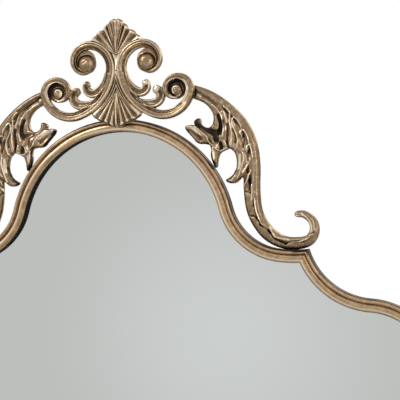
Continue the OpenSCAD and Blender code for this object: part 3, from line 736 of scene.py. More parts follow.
MOULDING_GOLD = (0.480, 0.318, 0.178)
moulding_gold = aged_gold("moulding_old_gold", MOULDING_GOLD, "age_and_light", 0.0, 0.95, lengthwise)
casting_gold = aged_gold("casting_old_gold", GOLD, "hollow", 0.04, 0.88)


def silvered_glass():
    g = Surface("silvered_glass")
    # Lighter round a point near the middle of the glass and darker away from it: a painted reflection
    # gradient, with a little noise as haze.
    centre = {0: g.place(), 1: (0.2, -0.05, 0.12)}
    middle = g.add("VectorMath", centre, operation="DISTANCE").outputs["Value"]
    cloud = g.math("MULTIPLY", g.noise(5.0, 2, 0.5), 0.12)
    painted_gradient_and_haze = g.math("ADD", g.ramp(middle, 0.02, 0.42), cloud)
    colour = g.mix(painted_gradient_and_haze, (0.600, 0.625, 0.618), (0.505, 0.520, 0.502))
    return g.coat(colour, g.noise(40.0), 0.015, 0.03, Metallic=1.0)


def zinc(name, tone, scale):
    g = Surface(name)
    brush = g.noise(scale, 4, 0.65, stretch=(1.0, 1.0, 14.0))
    spangle = g.noise(220, 2, 0.5)
    low = tuple(c * 0.78 for c in tone)
    colour = g.mix(g.ramp(spangle, 0.35, 0.65), tone, low)
    return g.coat(colour, brush, 0.26, 0.48, Metallic=1.0, Normal=g.bump(brush, 0.0001))


def brass():
    g = Surface("brass")
    tarnish = g.noise(300, 3, 0.6)
    colour = g.mix(g.ramp(tarnish, 0.35, 0.7), (0.78, 0.60, 0.30), (0.42, 0.28, 0.12))
    return g.coat(colour, tarnish, 0.24, 0.45, Metallic=1.0)


def hardboard():
    g = Surface("hardboard")
    mesh_mark = g.noise(900, 2, 0.6)
    fibre = g.noise(260, 5, 0.7, stretch=(1.0, 1.0, 0.35))
    stain = g.noise(5, 3, 0.5)
    colour = g.mix(g.ramp(fibre, 0.3, 0.72), (0.32, 0.20, 0.11), (0.50, 0.34, 0.20))
    colour = g.mix(g.ramp(stain, 0.35, 0.75, 0.0, 0.35), colour, (0.26, 0.16, 0.09))
    return g.coat(colour, fibre, 0.62, 0.82, Normal=g.bump(g.math("ADD", mesh_mark, fibre), 0.0003))


def rubber(name, tone):
    g = Surface(name)
    dust = g.noise(240, 4, 0.6)
    colour = g.mix(g.ramp(dust, 0.4, 0.75, 0.0, 0.5), tone, tuple(c + 0.07 for c in tone))
    return g.coat(colour, dust, 0.6, 0.8, Normal=g.bump(dust, 0.00015))


def painted():
    g = Surface("dark_paint")
    wear = g.noise(120, 5, 0.65)
    orange_peel = g.noise(600, 2, 0.5)
    colour = g.mix(g.ramp(wear, 0.62, 0.75), (0.05, 0.038, 0.028), (0.17, 0.12, 0.08))
    return g.coat(colour, wear, 0.38, 0.55, Normal=g.bump(orange_peel, 0.0002))


CAD_LOOKS = {
    "mirror_glass": silvered_glass(),
    "seal": rubber("seal_rubber", (0.02, 0.02, 0.02)),
    "board": hardboard(),
    "steel_plate": zinc("zinc_plate", (0.66, 0.66, 0.67), 90),
    "turn_button": zinc("zinc_button", (0.58, 0.58, 0.60), 140),
    "hanging_ring": zinc("zinc_wire", (0.70, 0.70, 0.71), 200),
    "screw": brass(),
    "bumper": rubber("bumper_rubber", (0.04, 0.04, 0.04)),
    "bracket": painted(),
    "moulding": moulding_gold,
    "casting": casting_gold,
}

for part in frame["record"]["subparts"]:
    node = frame["nodes"][part["node"]]
    node.data.materials.clear()
    node.data.materials.append(CAD_LOOKS[part["material_slot"]])

# ---- the rails of the moulding
ARCH_SPANS = [
    (arch_c, arch_r, 1, 0, arch_turn, 60),
    (foot_c, foot_r, -1, arch_turn, foot_slope, 40),
    (ledge_c, ledge_r, -1, foot_slope, lambda r: mitre_angle(ledge_c, r), 12),
]
WING_SPANS = [
    (wing_c, wing_r, -1, lambda r: mitre_angle(wing_c, r), wing_end, 44),
    (shoulder_c, shoulder_r, 1, wing_end, 90, 50),
]
for mirrored, hand in ((True, "left"), (False, "right")):
    rail(hand + "_arch_rail", *bent_rail(ARCH_SPANS), mirrored)
    rail(hand + "_wing_rail", *bent_rail(WING_SPANS), mirrored)
    stile = straight_rail(
        lambda n: np.array([side_x + n, stile_above_hook]),
        lambda n: np.array([side_x + n, bottom_z - n]),
        24,
    )
    rail(hand + "_stile", *stile, mirrored)
bottom = straight_rail(
    lambda n: np.array([-side_x - n, bottom_z - n]),
    lambda n: np.array([side_x + n, bottom_z - n]),
    48,
)
rail("bottom_rail", *bottom)

# ---- the crest's scrolls
waist = np.array([strip_w / 2 + 0.9, arch_top[1] + waist_up])
waist_a = -85.0
upper_arcs = [
    (-neck_r, -86, strip_w * 0.9),
    (-crown_r, -90, strip_w * 0.68),
    (-ball_turn_r, -80, strip_w * 0.5),
    (5 - ball_turn_r, -62, strip_w * 0.16),
]
lower_arcs = [
    (sweep_r, 65, strip_w * 0.94),
    (loop_r, 97, strip_w * 0.88),
    (coil_r + 1, 175, strip_w * 0.40),
    (eye_turn_r + 1.6, 170, strip_w * 0.2),
]
upper_half = chain(waist, waist_a + 180, strip_w, upper_arcs)
lower_half = chain(waist, waist_a, strip_w, lower_arcs)
scroll_route = [(x, y, a + 180, w) for x, y, a, w in upper_half[:0:-1]] + lower_half
STRIP = [
    (0.5, 0), (0.5, 0.3), (0.49, 0.5), (0.465, 0.68), (0.42, 0.84), (0.36, 0.95), (0.3, 1), (0.24, 0.97),
    (0.19, 0.87), (0.155, 0.77), (0.12, 0.8), (0.07, 0.86), (0.01, 0.87), (-0.05, 0.82), (-0.12, 0.7),
    (-0.19, 0.55), (-0.25, 0.45), (-0.3, 0.45), (-0.35, 0.6), (-0.39, 0.78), (-0.43, 0.86), (-0.465, 0.8),
    (-0.49, 0.58), (-0.5, 0.35), (-0.5, 0),
]
COIL = [
    (0.5, 0), (0.5, 0.34), (0.485, 0.55), (0.45, 0.72), (0.4, 0.84), (0.34, 0.92), (0.27, 0.97), (0.2, 1),
    (0.13, 1), (0.06, 0.99), (-0.01, 0.96), (-0.08, 0.92), (-0.14, 0.87), (-0.19, 0.83), (-0.23, 0.8),
    (-0.27, 0.8), (-0.31, 0.86), (-0.35, 0.94), (-0.39, 0.98), (-0.43, 0.96), (-0.46, 0.87), (-0.48, 0.72),
    (-0.49, 0.55), (-0.5, 0.35), (-0.5, 0),
]
CURL = [
    (0.5, 0), (0.5, 0.35), (0.48, 0.58), (0.43, 0.8), (0.36, 0.93), (0.28, 0.93), (0.2, 0.8), (0.1, 0.66),
    (0, 0.6), (-0.1, 0.62), (-0.2, 0.71), (-0.29, 0.82), (-0.36, 0.84), (-0.43, 0.72), (-0.48, 0.5),
    (-0.5, 0.3), (-0.5, 0),
]
corner = chain(waist, waist_a + 180, strip_w, upper_arcs[:2])[-1]
ball_turn_c = turn_left(corner[:2], waist_a + 4, -ball_turn_r)
ball_c = ball_turn_c + (-2.5, -5.5)
coil_from = chain(waist, waist_a, strip_w, lower_arcs[:2])[-1]
coil_c = turn_left(coil_from[:2], coil_from[2], coil_r + 1)
snail_c, snail_r = coil_c + (-1.5, -0.8), eye_r + 3.4
FOLD_R, FOLD_FROM, FOLD_TO = 17.2, 100, 270  # a fold round the snail, seen from the coil's middle
fold_c = coil_c + (-1.6, 1.6)
fold = []
for a in range(FOLD_FROM, FOLD_TO + 1, 5):
    wide = 2.2 + 2.6 * sin_d((a - FOLD_FROM) * 180 / (FOLD_TO - FOLD_FROM))
    fold.append((*(fold_c + FOLD_R * np.array([cos_d(a), sin_d(a)])), a + 90, wide))
CURLS = (
    chain(waist + [7.5, -7], -83, 10, [(neck_r + 1, 52, 17.5), (13, 88, 17), (11, 60, 14)], 5),
    chain(waist + [33, -58.5], -28, 11, [(50, 35, 18), (14.5, 90, 18.5), (12, 60, 16)], 5),
)


def scroll_relief(p):
    """The crescent dimple on the ball and the turn of the snail in the lower coil."""
    d = p - ball_c
    across, along = d @ (0.87, -0.5), d @ (0.5, 0.87)
    along, across = (along - 0.16 * ball_r) / (0.09 * ball_r), (across - 1) / (0.3 * ball_r)
    made = -1.3 * np.exp(-(along**2) - across**2)
    d, far = p - snail_c, away(p, snail_c)
    turn = (np.degrees(np.arctan2(d[:, 1], d[:, 0])) - 60) % 360 / 360
    groove = hump(far - snail_r * (0.28 + 0.46 * turn), snail_r * 0.09, snail_r * 0.11)
    made -= (far < snail_r * 0.9) * groove * clamp(1.6 - 1.7 * turn)
    return made


def strip_height(t):
    """The strip sinks where it runs in under its own start in the lower coil."""
    return 1.0 - 0.45 * clamp((t - 0.86) / 0.12)


def strip_shape(t):
    """From the strip's two ridges to the broad band of the lower coil."""
    k = clamp((t - 0.44) / 0.16)
    return [tuple((1 - k) * a + k * b for a, b in zip(p, q)) for p, q in zip(STRIP, COIL)]


scroll = Casting()
scroll.sweep(scroll_route, strip_shape, crest_z, strip_d, True, True, strip_height)
scroll.dome(ball_c, ball_r, crest_z, strip_d + 3.6)
scroll.dome(snail_c, snail_r, crest_z, strip_d)
scroll.sweep(fold, CURL, crest_z, strip_d * 0.92, True, True)
scroll.disc(ball_turn_c, ball_turn_r - 2, crest_z, web_t)
scroll.disc(coil_c + (-3, 2), coil_r - 4, crest_z, web_t)
for curl in CURLS:
    scroll.sweep(curl, CURL, crest_z, strip_d * 0.9, True, True)
    x, y, a, w = curl[-1]
    scroll.dome((x - sin_d(a), y + cos_d(a)), w * 0.47, crest_z, strip_d * 0.95)
scroll_mesh = scroll.mesh("scroll", 0.5, 12, scroll_relief)
LOW_FRONT = 9  # what is lower than this over the back of the crest counts as a hollow
COIL_FLOOR, COIL_BAND, COIL_EDGE = 21, 28, 32  # radii in the lower coil
hollow, flat = hollows(scroll_mesh, 24, 1.0, 1.0), in_plane(coordinates(scroll_mesh))
low = coordinates(scroll_mesh)[:, 1] > -(crest_z + LOW_FRONT + bumper_h) * MM
hollow = np.where(away(flat, ball_turn_c) < ball_turn_r + 4, hollow * 0.6, hollow)
in_coil, from_snail = away(flat, coil_c), away(flat, snail_c)
on_floor = in_coil < COIL_FLOOR
hollow = np.where((in_coil < COIL_EDGE) & (hollow < 0), hollow * 0.45, hollow)
# The coil's floor round the snail darkens, most above it: painted shade; the left hand gets less of it.
above = (flat - snail_c)[:, 1] / np.maximum(from_snail, 1)
stain = clamp((from_snail - snail_r) / 1.5) * np.clip(1.2 + above * 1.6, 0.4, 1)
hollow += 1.3 * stain * low * on_floor
left_hollow_and_light = -0.45 * stain * low * on_floor
# Bright lines along the coil's ridge, the fold, round the snail and along the strip's outer rim by the
# waist: painted highlights.
for first, last, amount, wide in ((0, 240, 0.35, 1.2), (50, 140, 1.3, 3.0)):
    ridge = beside([q for q in lower_half if first < q[2] < last], -0.36)
    hollow -= amount * stroke(flat, ridge, 8, wide) * ~low
hollow += 0.38 * hump(in_coil - COIL_BAND, 4)
hollow -= 1.2 * stroke(flat, beside(fold, 0), 6, 1.4)
lit = np.array([polar(snail_c, snail_r * 0.62, a) for a in range(-130, 11, 10)])
hollow -= 1.3 * stroke(flat, lit, 6, 2.2) * on_floor
hollow = np.where(away(flat, ball_c) < ball_r - 0.2, hollow * 0.4, hollow)
hollow -= 0.5 * stroke(flat, beside(lower_half[:22], 0.5), 6, 2.0)
for curl in CURLS:
    x, y, a, w = curl[-1]
    hollow += 0.5 * stroke(flat, beside(curl[9:], 0), 8, 2.4)
    # The curls' tips get a painted highlight on the right hand and painted shade on the left.
    tip = hump(away(flat, turn_left((x, y), a, 2)), w * 0.4) * ~low
    hollow -= 0.9 * tip
    left_hollow_and_light += 1.6 * tip
mark(scroll_mesh, hollow)
both_hands("scroll", scroll_mesh, hollow + left_hollow_and_light)


# ---- the palmettes
neck_c = turn_left(waist, waist_a + 180, -neck_r)
crown_c = turn_left(chain(waist, waist_a + 180, strip_w, upper_arcs[:1])[-1][:2], waist_a + 94, -crown_r)
sweep_c = turn_left(waist, waist_a, sweep_r)


def ribs(*bounds):
    """Round ribs between bounds that are grooves, as (angle, height)."""
    rib = ((0, 0.05), (0.15, 0.50), (0.32, 0.85), (0.5, 1.0), (0.68, 0.85), (0.85, 0.50), (1, 0.05))
    return [(a + (b - a) * t, h) for a, b in zip(bounds, bounds[1:]) for t, h in rib]


UNDER = 1.5  # how far a palmette runs in under the strips


def fan_height(x, y, root, way, bounds, rims, bumps, lobes, rise, spear, strip):
    """Height of a palmette's front over the plane, below 0 outside its outline.

    Between the bounds, angles at the root, lie lobes: rims are their reach, bumps round their ends.
    Its spear is a middle rib as (low, high, width, height), and a strip may lie on it, as (centre, radius).
    """
    up = (y - root[1]) * way
    far, angle = np.hypot(x, up), np.degrees(np.arctan2(np.abs(x), up))
    rim = np.interp(angle, bounds, rims)
    for a, b, bump in zip(bounds, bounds[1:], bumps):
        s = np.clip(2 * (angle - a) / (b - a) - 1, -1, 1)
        rim = rim + bump * np.sqrt(1 - s * s)
    inside = rim - far
    lobe = np.interp(angle, *zip(*lobes))
    grown = clamp(far / rim)
    low, high, wide, tall = spear
    swell = clamp(np.sin(np.pi * clamp((up - low) / (high - low))))
    ridge = tall * swell**0.5 * hump(x, 0.5 + wide * swell**0.7)
    front = rise[0] + rise[1] * grown + rise[2] * lobe * grown**0.6 + ridge
    if strip:
        c, r = strip
        gap = np.hypot(np.abs(x) - c[0], y - c[1]) - r
        fade = clamp(1.25 - far / rim)
        for raised, off, broad, full in ((5.0, 2.6, 1.3, 2), (4.6, 6.6, 1.4, 1.6)):
            bead = raised * hump(gap - off, broad) * clamp(fade * full)
            front = np.maximum(front, rise[0] + bead)
    front = front + 4.5 * hump(y - waist[1], 16)
    edge = clamp((inside - 1.6) / 3.4)
    front = 2.2 + (front - 2.2) * np.sqrt(1 - (1 - edge) ** 2)
    return np.where(inside > 0, front, -1.0)


def palmette(node, rooms, low, high, root, way, *form, spear, strip=None, step=0.5):
    """A palmette's mesh: its front is a height over a grid, cut where the strips pass."""
    x, y = grid(low, high, step)
    height = fan_height(x, y, root, way, *form, spear, strip)
    shown = height >= 0
    for c, r in rooms:
        for side in (-1, 1):
            shown &= np.hypot(x - side * c[0], y - c[1]) > r
    casting = Casting()
    casting.field(x, y, crest_z + np.maximum(height, 0), crest_z, shown)
    mesh = casting.mesh(node + "_casting", 0.5, 4)
    flat = in_plane(coordinates(mesh))
    up = (flat[:, 1] - root[1]) * way
    to_strip = np.full(len(flat), 99.0)
    for c, r in rooms:
        far = np.hypot(np.abs(flat[:, 0]) - c[0], flat[:, 1] - c[1])
        to_strip = np.minimum(to_strip, np.abs(far - r - UNDER))
    # Lighter beside the strips, which takes back part of the painted shade there, and a painted highlight
    # along the spear.
    hollow = hollows(mesh, 14, 0.4, 1.8) - 0.5 * hump(to_strip, 4)
    on_spear = (up > spear[0] + 3) & (up < spear[1])
    mark(mesh, hollow - 0.6 * hump(flat[:, 0], spear[2] * 0.8) * on_spear)
    new_piece(mesh.name, mesh, casting_gold, "frame", node, 0)


top_y, waist_y = arch_top[1], waist[1]
palmette(
    "top_palmette",
    [(neck_c, neck_r + strip_w / 2 - UNDER), (crown_c, crown_r + strip_w * 0.45 - UNDER)],
    (-60, waist_y - 1), (60, top_y + crest_h + 6),
    (0, top_y + 120), 1, (0, 14, 28, 47, 66), (66, 60.5, 53, 54.5, 56), (4.5, 3, 3, 3),
    [(0, 0.95), (1.6, 0.86), (3, 0.62), (5, 0.78), (6, 0.72), (9, 0.34), (12, 0.55), (14, 1.0), (15.5, 0.5)]
    + ribs(16.5, 28.5, 47.5, 66),
    (3.0, 1.5, 7.5), spear=(3, 36, 2.2, 4.0),
)
palmette(
    "base_palmette",
    [(sweep_c, sweep_r + strip_w / 2 - UNDER)],
    (-60, top_y - 20), (60, waist_y - 2),
    (0, top_y + 52), -1, (0, 4, 15, 26, 38, 50), (69, 67.5, 63.5, 62, 65.5, 65), (0.8, 2.0, 2.2, 2.0, 1.8),
    [(0, 0.75), (2, 0.62)] + ribs(4, 15, 26, 38) + [(a, 0.72 * h) for a, h in ribs(38, 50)],
    (3.0, 2.0, 5.6), spear=(2, 70, 3.0, 6.0), strip=(sweep_c, sweep_r + strip_w / 2),
)

# ---- the leaves
tail_c = on_ledge(TAIL_TURN, tail_r + 11.6)
# The leaf's back over the arch, then over the foot, as angle, height and share of the width.
OVER_ARCH = (
    (25, -4, 0.6), (33, 0, 0.87), (41, 1, 1), (49, -1, 1.05), (56, -10, 1.06), (63, -25, 1.06),
    (71, -42, 1.05),
)
OVER_FOOT = ((64, 38, 1), (41, 30, 0.93), (22, 21, 0.9), (4, leaf_w * 0.4 + 3 * seat, 0.8))
leaf_points = [(*on_arch(a, leaf_up + h), leaf_w * w) for a, h, w in OVER_ARCH]
leaf_points += [(*on_foot(a, h), leaf_w * w) for a, h, w in OVER_FOOT]
for a, w in ((-6, 0.76), (40, 0.68), (80, 0.61), (120, 0.54), (160, 0.46), (188, 0.40)):
    leaf_points.append((*turn_left(tail_c, a, -tail_r), leaf_w * w))
leaf_route = stations(smooth(leaf_points, 8))
BACK = [
    (0.5, 0), (0.5, 0.24), (0.47, 0.42), (0.4, 0.57), (0.3, 0.67), (0.18, 0.74), (0.06, 0.78), (-0.02, 0.8),
    (-0.07, 0.86), (-0.13, 0.95), (-0.21, 1), (-0.29, 1), (-0.37, 0.93), (-0.44, 0.76), (-0.485, 0.52),
    (-0.5, 0.28), (-0.5, 0),
]
# The blade, two petals, leg and hook: share of the leaf's depth, width of the rounding, height of the
# edge, then the outline over the arch as angle, height, angle, height and so on.
PETALS = [
    (
        0.84, 9, 4, 28.6, 89.1, 28.6, 81.7, 28.8, 76.4, 29.4, 72.6, 31.5, 74.6, 33.3, 75.6, 35.4, 74.9,
        37.5, 71.9, 39.1, 67.4, 40.4, 60.2, 41.3, 52.6, 43.3, 46.1, 45.8, 39.8, 48.4, 34, 50.7, 34.8,
        52.2, 41, 53, 46, 54.4, 48, 55.7, 48.2, 57.6, 45.4, 59.7, 40.3, 61.2, 34.8, 62.6, 26.9, 65.3, 35,
        65.7, 42.3, 64.4, 55, 61.7, 69, 57.6, 78.9, 53.2, 84.1, 48.5, 88.8, 44.5, 92.3, 40.3, 93.6,
        36.1, 92.5, 32.8, 91.3,
    ),
    (
        0.95, 8, 4, 32.2, 19.1, 32.8, 23.6, 35.2, 30.5, 37.6, 31, 40, 31, 42.7, 31.5, 45.1, 28.4, 47.8, 26,
        46.5, 22.7, 44.6, 18, 42.7, 11.3, 40.8, 8.6, 37.5, 10.9, 33.6, 14.7,
    ),
    (
        0.85, 6, 4, 35.1, 32.8, 34.3, 36.3, 34.6, 42.3, 35.3, 46.4, 36.1, 46.2, 36.9, 41.9, 38.1, 39.4,
        39.6, 40, 40.7, 42.9, 41.1, 46.7, 41.3, 53.2, 42.9, 54.1, 45.8, 46.8, 48, 35.7, 46.8, 26.7,
        43.1, 28.6, 39.1, 29.4, 36.4, 30.6,
    ),
    (
        0.72, 6, 3, 45.9, 23.1, 47.9, 17.6, 49.6, 10.4, 51.5, 6.1, 54.1, 2.9, 55.8, 2.7, 55.9, 6.3,
        54.7, 10.6, 53.2, 16.6, 51.9, 25.6, 52.1, 34.6, 52.4, 41.8, 49.1, 41.2, 46.4, 31.9,
    ),
    (
        0.85, 7, 4, 55.8, 48.7, 57.6, 45.5, 59.7, 40.3, 61.2, 34.8, 62.6, 25.7, 63.2, 16.2, 63.3, 7.7,
        64.5, 8.7, 66, 15.6, 66.4, 23, 66, 30.7, 65.5, 36.7, 65.4, 41.7, 64.1, 51.6, 60.9, 61.4, 57.3, 63.4,
        55.9, 57.6,
    ),
]
# Veins, or grooves below 0: width and height, then the way over the arch as above.
STROKES = [
    (1.3, 1.8, 37, 82.6, 38.8, 81.8, 41.1, 77.5, 43.4, 69.4, 45.7, 60, 47.4, 49.2),
    (1.3, 2.2, 40.4, 91.8, 41.5, 92.6, 43.3, 90.8, 44.4, 84.3, 45.5, 77.9, 47.8, 70.9, 49.7, 62.9, 51.9, 49),
    (1.3, 2, 45.3, 88.8, 46.3, 80.1, 48.3, 75.2, 51.3, 70.2, 52.9, 64.9, 54.4, 55.9, 54.9, 48.8),
    (1.1, 1.4, 45.4, 90.1, 46.9, 90.6, 49.1, 88.5, 50.5, 84.3),
    (1.1, 1.7, 51.4, 76.4, 50.7, 81.7, 50.9, 86.6, 52.1, 86.9, 54.1, 84.3, 55.5, 80.3),
    (1.1, 1.5, 57.2, 69.1, 56.3, 75.8, 56.3, 79.7, 58.5, 76.8, 60.7, 72),
    (1.4, 2.2, 57.3, 61.2, 59.4, 56.7, 61.3, 48, 63.4, 37.7, 65.2, 28.9),
    (1, 1.2, 49.5, 47.1, 51.2, 44.7, 52.2, 42.5),
    (1.4, 2.4, 35.4, 30.8, 39, 29.9, 42.9, 29.5, 45.2, 25.3, 49.6, 26, 51.2, 29.7, 51.9, 40.2),
    (1, 1.4, 47.9, 41, 48.6, 31.4, 49.6, 26), (1.2, 1.2, 32.5, 19.8, 35.2, 27, 37.7, 27.1, 40.3, 23.2),
    (1.6, 1.4, 48, 21.6, 49.6, 16, 52.2, 9.4), (3.2, -4, 40.7, 72.4, 42.8, 66.9, 44.6, 58.3, 45.5, 49),
    (1.9, -2.6, 45.4, 72.2, 47.6, 62.6, 49.9, 51.2, 52, 45.5),
    (1.6, -1.8, 48.3, 73.4, 50.7, 68.6, 52.5, 60.4), (5, -4, 41.9, 42, 44.3, 43.4, 46.6, 34.6),
    (3.4, -3.5, 48.9, 38.6, 50.3, 34.6), (4.5, -3.6, 34.7, 18.3, 38, 17.1, 41.4, 17.5),
    (2.6, -2.2, 32.2, 83.9, 34.9, 85.4, 37.6, 84.8, 40.2, 81.4),
    (1.8, -1.6, 51.2, 75.4, 53.5, 70.7, 56.1, 65.8), (2.2, -2.4, 59.6, 39.5, 61.9, 30.6, 63.6, 17.6),
    (1.6, 1.6, 64, 42.7, 62.7, 55, 60.7, 67), (1.6, 1.6, 69.5, 33.1, 67.3, 46, 64.7, 57.2),
    (2, -1.6, 58.7, 65, 62.1, 59.5, 64.8, 50), (2, -1.8, 65.2, 54.5, 67.9, 49.5, 70.5, 40),
    (1.3, 1.3, 75.6, 46.2, 78.8, 44, 81.5, 44.8, 84.2, 48, 86.1, 50.9),
    (1.4, -2, 81.9, 31.9, 82.4, 40.3, 84.2, 46.2, 86.1, 49.7),
    (1.4, -2, 85.8, 47.3, 87.5, 57.9, 89.3, 67.5), (1.2, 1.6, 87, 65.5, 88.8, 70, 90.7, 73.6),
    (1.3, -2, 88, 62.7, 89.5, 67.4, 91, 73.6, 92.1, 84.7, 92.9, 96),
    (1.3, -1.6, 70.2, 29.8, 71.7, 34, 72.7, 41.7), (1.5, 1.5, 69.7, 31.3, 68.7, 37.8, 65.5, 51.2),
    (1.8, 1, 70, 48.2, 72.5, 44.7, 75.6, 39.9), (1.7, -2, 67.8, 48.9, 69.8, 45.9, 71.4, 41.1),
    (1.4, 1.8, 83.4, 126.1, 84.8, 135.6, 86.6, 141.3, 88.5, 142.5, 89.5, 140.5),
    (1.5, -1.2, 85.2, 148.8, 86.7, 150.4, 88, 151.1),
    (1.5, -1.4, 92.9, 94.7, 92, 106.9, 91.7, 121.5, 90.4, 134.9),
    (1.6, 1, 90.7, 74.8, 91.2, 87.1, 91.3, 99.4), (1.2, -1.2, 89.5, 135, 89.7, 141, 89.1, 147.2),
    (1.6, -0.9, 80.4, 29.2, 79.5, 35, 75.6, 45.6),
]
ON_PETALS = 66  # veins that start from this angle on lie on the leaf's back
# Lens-shaped hollows: start, end, half width and depth.
LENSES = [
    ((40.6, 90.5), (45.3, 79.0), 3.2, 2.6), ((45.8, 88.5), (51.0, 75.5), 3.4, 2.2),
    ((51.6, 84.5), (56.2, 66.0), 3.6, 3.4), ((57.2, 77.0), (60.2, 63.0), 2.6, 3.0),
]
# Painted shade, and painted highlights in the gleams: width and how dark, or how bright in the gleams, then
# the way over the arch.
SHADE_MARKS = [
    (6, 1.25, 35.2, 46, 35.6, 38, 38.5, 35, 43, 38, 46.5, 39),
    (3.4, 0.9, 41, 40, 44, 50, 44.8, 62, 43.5, 72), (3.8, 1.2, 42.8, 67, 44.6, 58, 45.5, 49),
    (2.8, 1.7, 32.6, 17, 36.5, 10.5, 40.6, 8), (3.2, 1.6, 53.6, 7, 55.5, 3),
    (2.6, 1.6, 59.6, 39, 61.6, 29, 63, 16, 63.6, 8), (2.2, 0.9, 28.5, 92, 29.3, 84, 30, 76),
    (3, 0.9, 48.6, 40, 50.2, 35), (3.2, 1.3, 91.8, 55, 94.3, 75, 94.6, 100, 94.2, 125),
]
LEFT_SHADE_MARKS = [
    (3.6, 0.8, 27, 86, 33, 92, 40, 94), (3.4, 0.8, 32.6, 17, 36.5, 10.5, 40.6, 8),
    (2.4, 0.6, 44, 81, 47, 70, 49.5, 58, 51, 48), (2.2, 0.6, 50, 84, 53, 72, 55, 60),
]
GLEAMS = [
    (3, 1, 33.6, 21, 36.5, 24.5, 39, 25.5), (1.8, 0.7, 41.5, 86, 44.5, 76, 46.4, 64),
    (2.2, 0.6, 50.5, 60, 52.4, 50), (2.4, 0.8, 57.5, 55, 60, 47, 61.5, 40), (1.8, 0.8, 49.5, 22, 51.5, 13),
    (2, 0.55, 38.5, 33.5, 42.5, 35, 46, 38.5),
]


def over_arch(run):
    return [tuple(on_arch(a, h)) for a, h in zip(run[::2], run[1::2])]


def vein(run):
    return smooth(over_arch(run), 6)


def paint(values, flat, rows, sign):
    """Adds a table of painted shade to the numbers, or with sign -1 takes a table of painted highlights from
    them.
    """
    for width, amount, *run in rows:
        values += sign * stroke(flat, vein(run), 3 * width, width, amount)


def leaf_relief(flat):
    made = np.zeros(len(flat))
    for width, height, *run in STROKES:
        boost = 1.25 if run[0] < ON_PETALS else 1.6
        made += stroke(flat, vein(run), 4 * width, width, boost * height)
    for start, end, half, depth in LENSES:
        a, b = on_arch(*start), on_arch(*end)
        axis = (b - a) / 2
        length = np.hypot(*axis)
        u = axis / length
        d = flat - (a + b) / 2
        q = np.abs(d @ np.array([-u[1], u[0]])) / half + ((d @ u) / length) ** 2
        made -= depth * clamp(1 - q) ** 0.7
    return made


leaf = Casting()
leaf.sweep(leaf_route, BACK, leaf_back, leaf_d, False, True)
for share, soft, edge, *outline in PETALS:
    leaf.pillow(over_arch(outline), leaf_back, leaf_d * share, soft, edge)
root_place = coil_c + (23.5, -7)
leaf.disc(root_place, 6, leaf_back, crest_z - seat - leaf_back, 40)
leaf_mesh = leaf.mesh("leaf", 0.7, 4, leaf_relief)
leaf_hollow_and_light, flat = hollows(leaf_mesh, 14, 2.0, 0.8), in_plane(coordinates(leaf_mesh))
paint(leaf_hollow_and_light, flat, SHADE_MARKS, 1)
paint(leaf_hollow_and_light, flat, GLEAMS, -1)
# Bright lines along the raised veins: painted highlights.
for width, height, *run in STROKES:
    if height > 0:
        leaf_hollow_and_light -= stroke(flat, vein(run), 3 * width, 0.8 * width, 0.45 * height)
# Painted shade along the back, and painted highlights where the amount is below 0: share of the width,
# amount, width, stations from the root on.
LEAF_LINES = ((-0.5, 0.5, 5.0, 70), (-0.1, -0.2, 2.4, 70), (0.02, 0.42, 1.8, 36), (0.17, -0.3, 2.0, 16))
for share, amount, wide, count in LEAF_LINES:
    leaf_hollow_and_light += stroke(flat, beside(leaf_route[:count], share), 12, wide, amount)
mark(leaf_mesh, leaf_hollow_and_light)
LEFT_DARKEST = 0.78  # the painted shade on the left leaf is lighter
left_leaf_hollow_and_light = np.minimum(np.maximum(leaf_hollow_and_light, 0), LEFT_DARKEST) + np.minimum(leaf_hollow_and_light, 0)
# On the left leaf the petal's painted shade is taken back, and the outer edge of the back gets painted
# shade.
left_leaf_hollow_and_light -= 0.8 * stroke(flat, vein(SHADE_MARKS[0][2:]), 18, 6.5)
left_leaf_hollow_and_light += 0.8 * stroke(flat, beside(leaf_route[:60], -0.46), 12, 3.5)
paint(left_leaf_hollow_and_light, flat, LEFT_SHADE_MARKS, 1)
both_hands("leaf", leaf_mesh, left_leaf_hollow_and_light)

# ---- floor, light and camera
FLOOR_R, FLOOR_GAP = 2.4, 0.0005


def floor():
    mesh = bpy.data.meshes.new("floor")
    bm = bmesh.new()
    bmesh.ops.create_circle(bm, cap_ends=True, cap_tris=True, segments=128, radius=FLOOR_R)
    bm.to_mesh(mesh)
    bm.free()
    piece = placed("floor", mesh)
    piece.location = (0, 0, cad_box[0][2] - FLOOR_GAP)
    g = Surface("pale_floor")
    cloud = g.ramp(g.noise(2.5, 3, 0.5), 0.3, 0.7)
    colour = g.mix(cloud, (0.84, 0.84, 0.835), (0.80, 0.80, 0.80))
    mesh.materials.append(g.set(Base_Color=colour, Roughness=0.9))


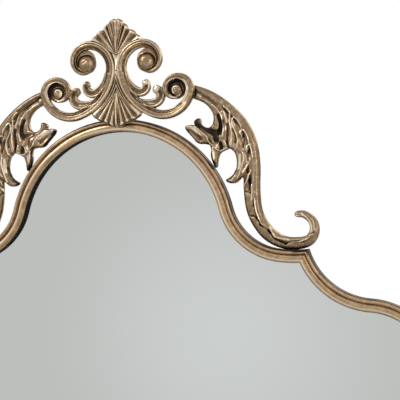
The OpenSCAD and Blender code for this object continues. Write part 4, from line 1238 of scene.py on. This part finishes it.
def lamp(name, place, target, size, power):
    data = bpy.data.lights.new(name, "AREA")
    data.shape = "DISK"
    data.size = size
    data.energy = power
    piece = placed(name, data)
    piece.location = place
    piece.rotation_mode = "QUATERNION"
    piece.rotation_quaternion = (Vector(target) - Vector(place)).to_track_quat("-Z", "Y")


def world():
    """White behind the object and in what its metal and glass mirror, a paler fill on matt surfaces."""
    studio = bpy.data.worlds.new("studio")
    bpy.context.scene.world = studio
    g = Graph(studio)
    rays = g.add("LightPath").outputs
    seen = g.math("MAXIMUM", rays["Is Camera Ray"], rays["Is Glossy Ray"])
    seen = g.math("MAXIMUM", seen, rays["Is Transmission Ray"])
    fill = g.add("Background", {"Color": (0.97, 0.98, 1.0, 1), "Strength": 0.5})
    white = g.add("Background", {"Color": (1, 1, 1, 1), "Strength": 1.0})
    last = g.add("MixShader", {0: seen, 1: fill.outputs[0], 2: white.outputs[0]})
    g.add("OutputWorld", {"Surface": last.outputs[0]})


EYE = (0.6432, -2.1119, 0.3812)
YAW_PITCH_ROLL = (13.17, -0.30, -0.73)
FILM, PICTURE, FOCUS = 36, 400, 1150.3  # width in mm, and width and focal length in pixels


def camera():
    yaw, pitch, roll = (math.radians(v) for v in YAW_PITCH_ROLL)
    ahead = Vector((-math.sin(yaw) * math.cos(pitch), math.cos(yaw) * math.cos(pitch), math.sin(pitch)))
    flat = ahead.cross(Vector((0, 0, 1))).normalized()
    over = flat.cross(ahead)
    right = flat * math.cos(roll) + over * math.sin(roll)
    top = over * math.cos(roll) - flat * math.sin(roll)
    data = bpy.data.cameras.new("camera")
    data.sensor_width = FILM
    data.lens = FILM * FOCUS / PICTURE
    data.clip_start, data.clip_end = 0.05, 50
    piece = placed("camera", data)
    turn = Matrix((right, top, -ahead)).transposed().to_4x4()
    piece.matrix_world = Matrix.Translation(EYE) @ turn
    bpy.context.scene.camera = piece


floor()
world()
lamp("key_lamp", (-1.7, -2.0, 2.3), (0, 0, 0.35), 1.3, 46)
lamp("fill_lamp", (2.2, -1.9, 0.9), (0, 0, 0.3), 1.4, 12)
lamp("rear_lamp", (1.2, 2.4, 1.6), (0, 0, 0.1), 1.6, 30)
camera()
bpy.context.scene.view_settings.view_transform = "Standard"
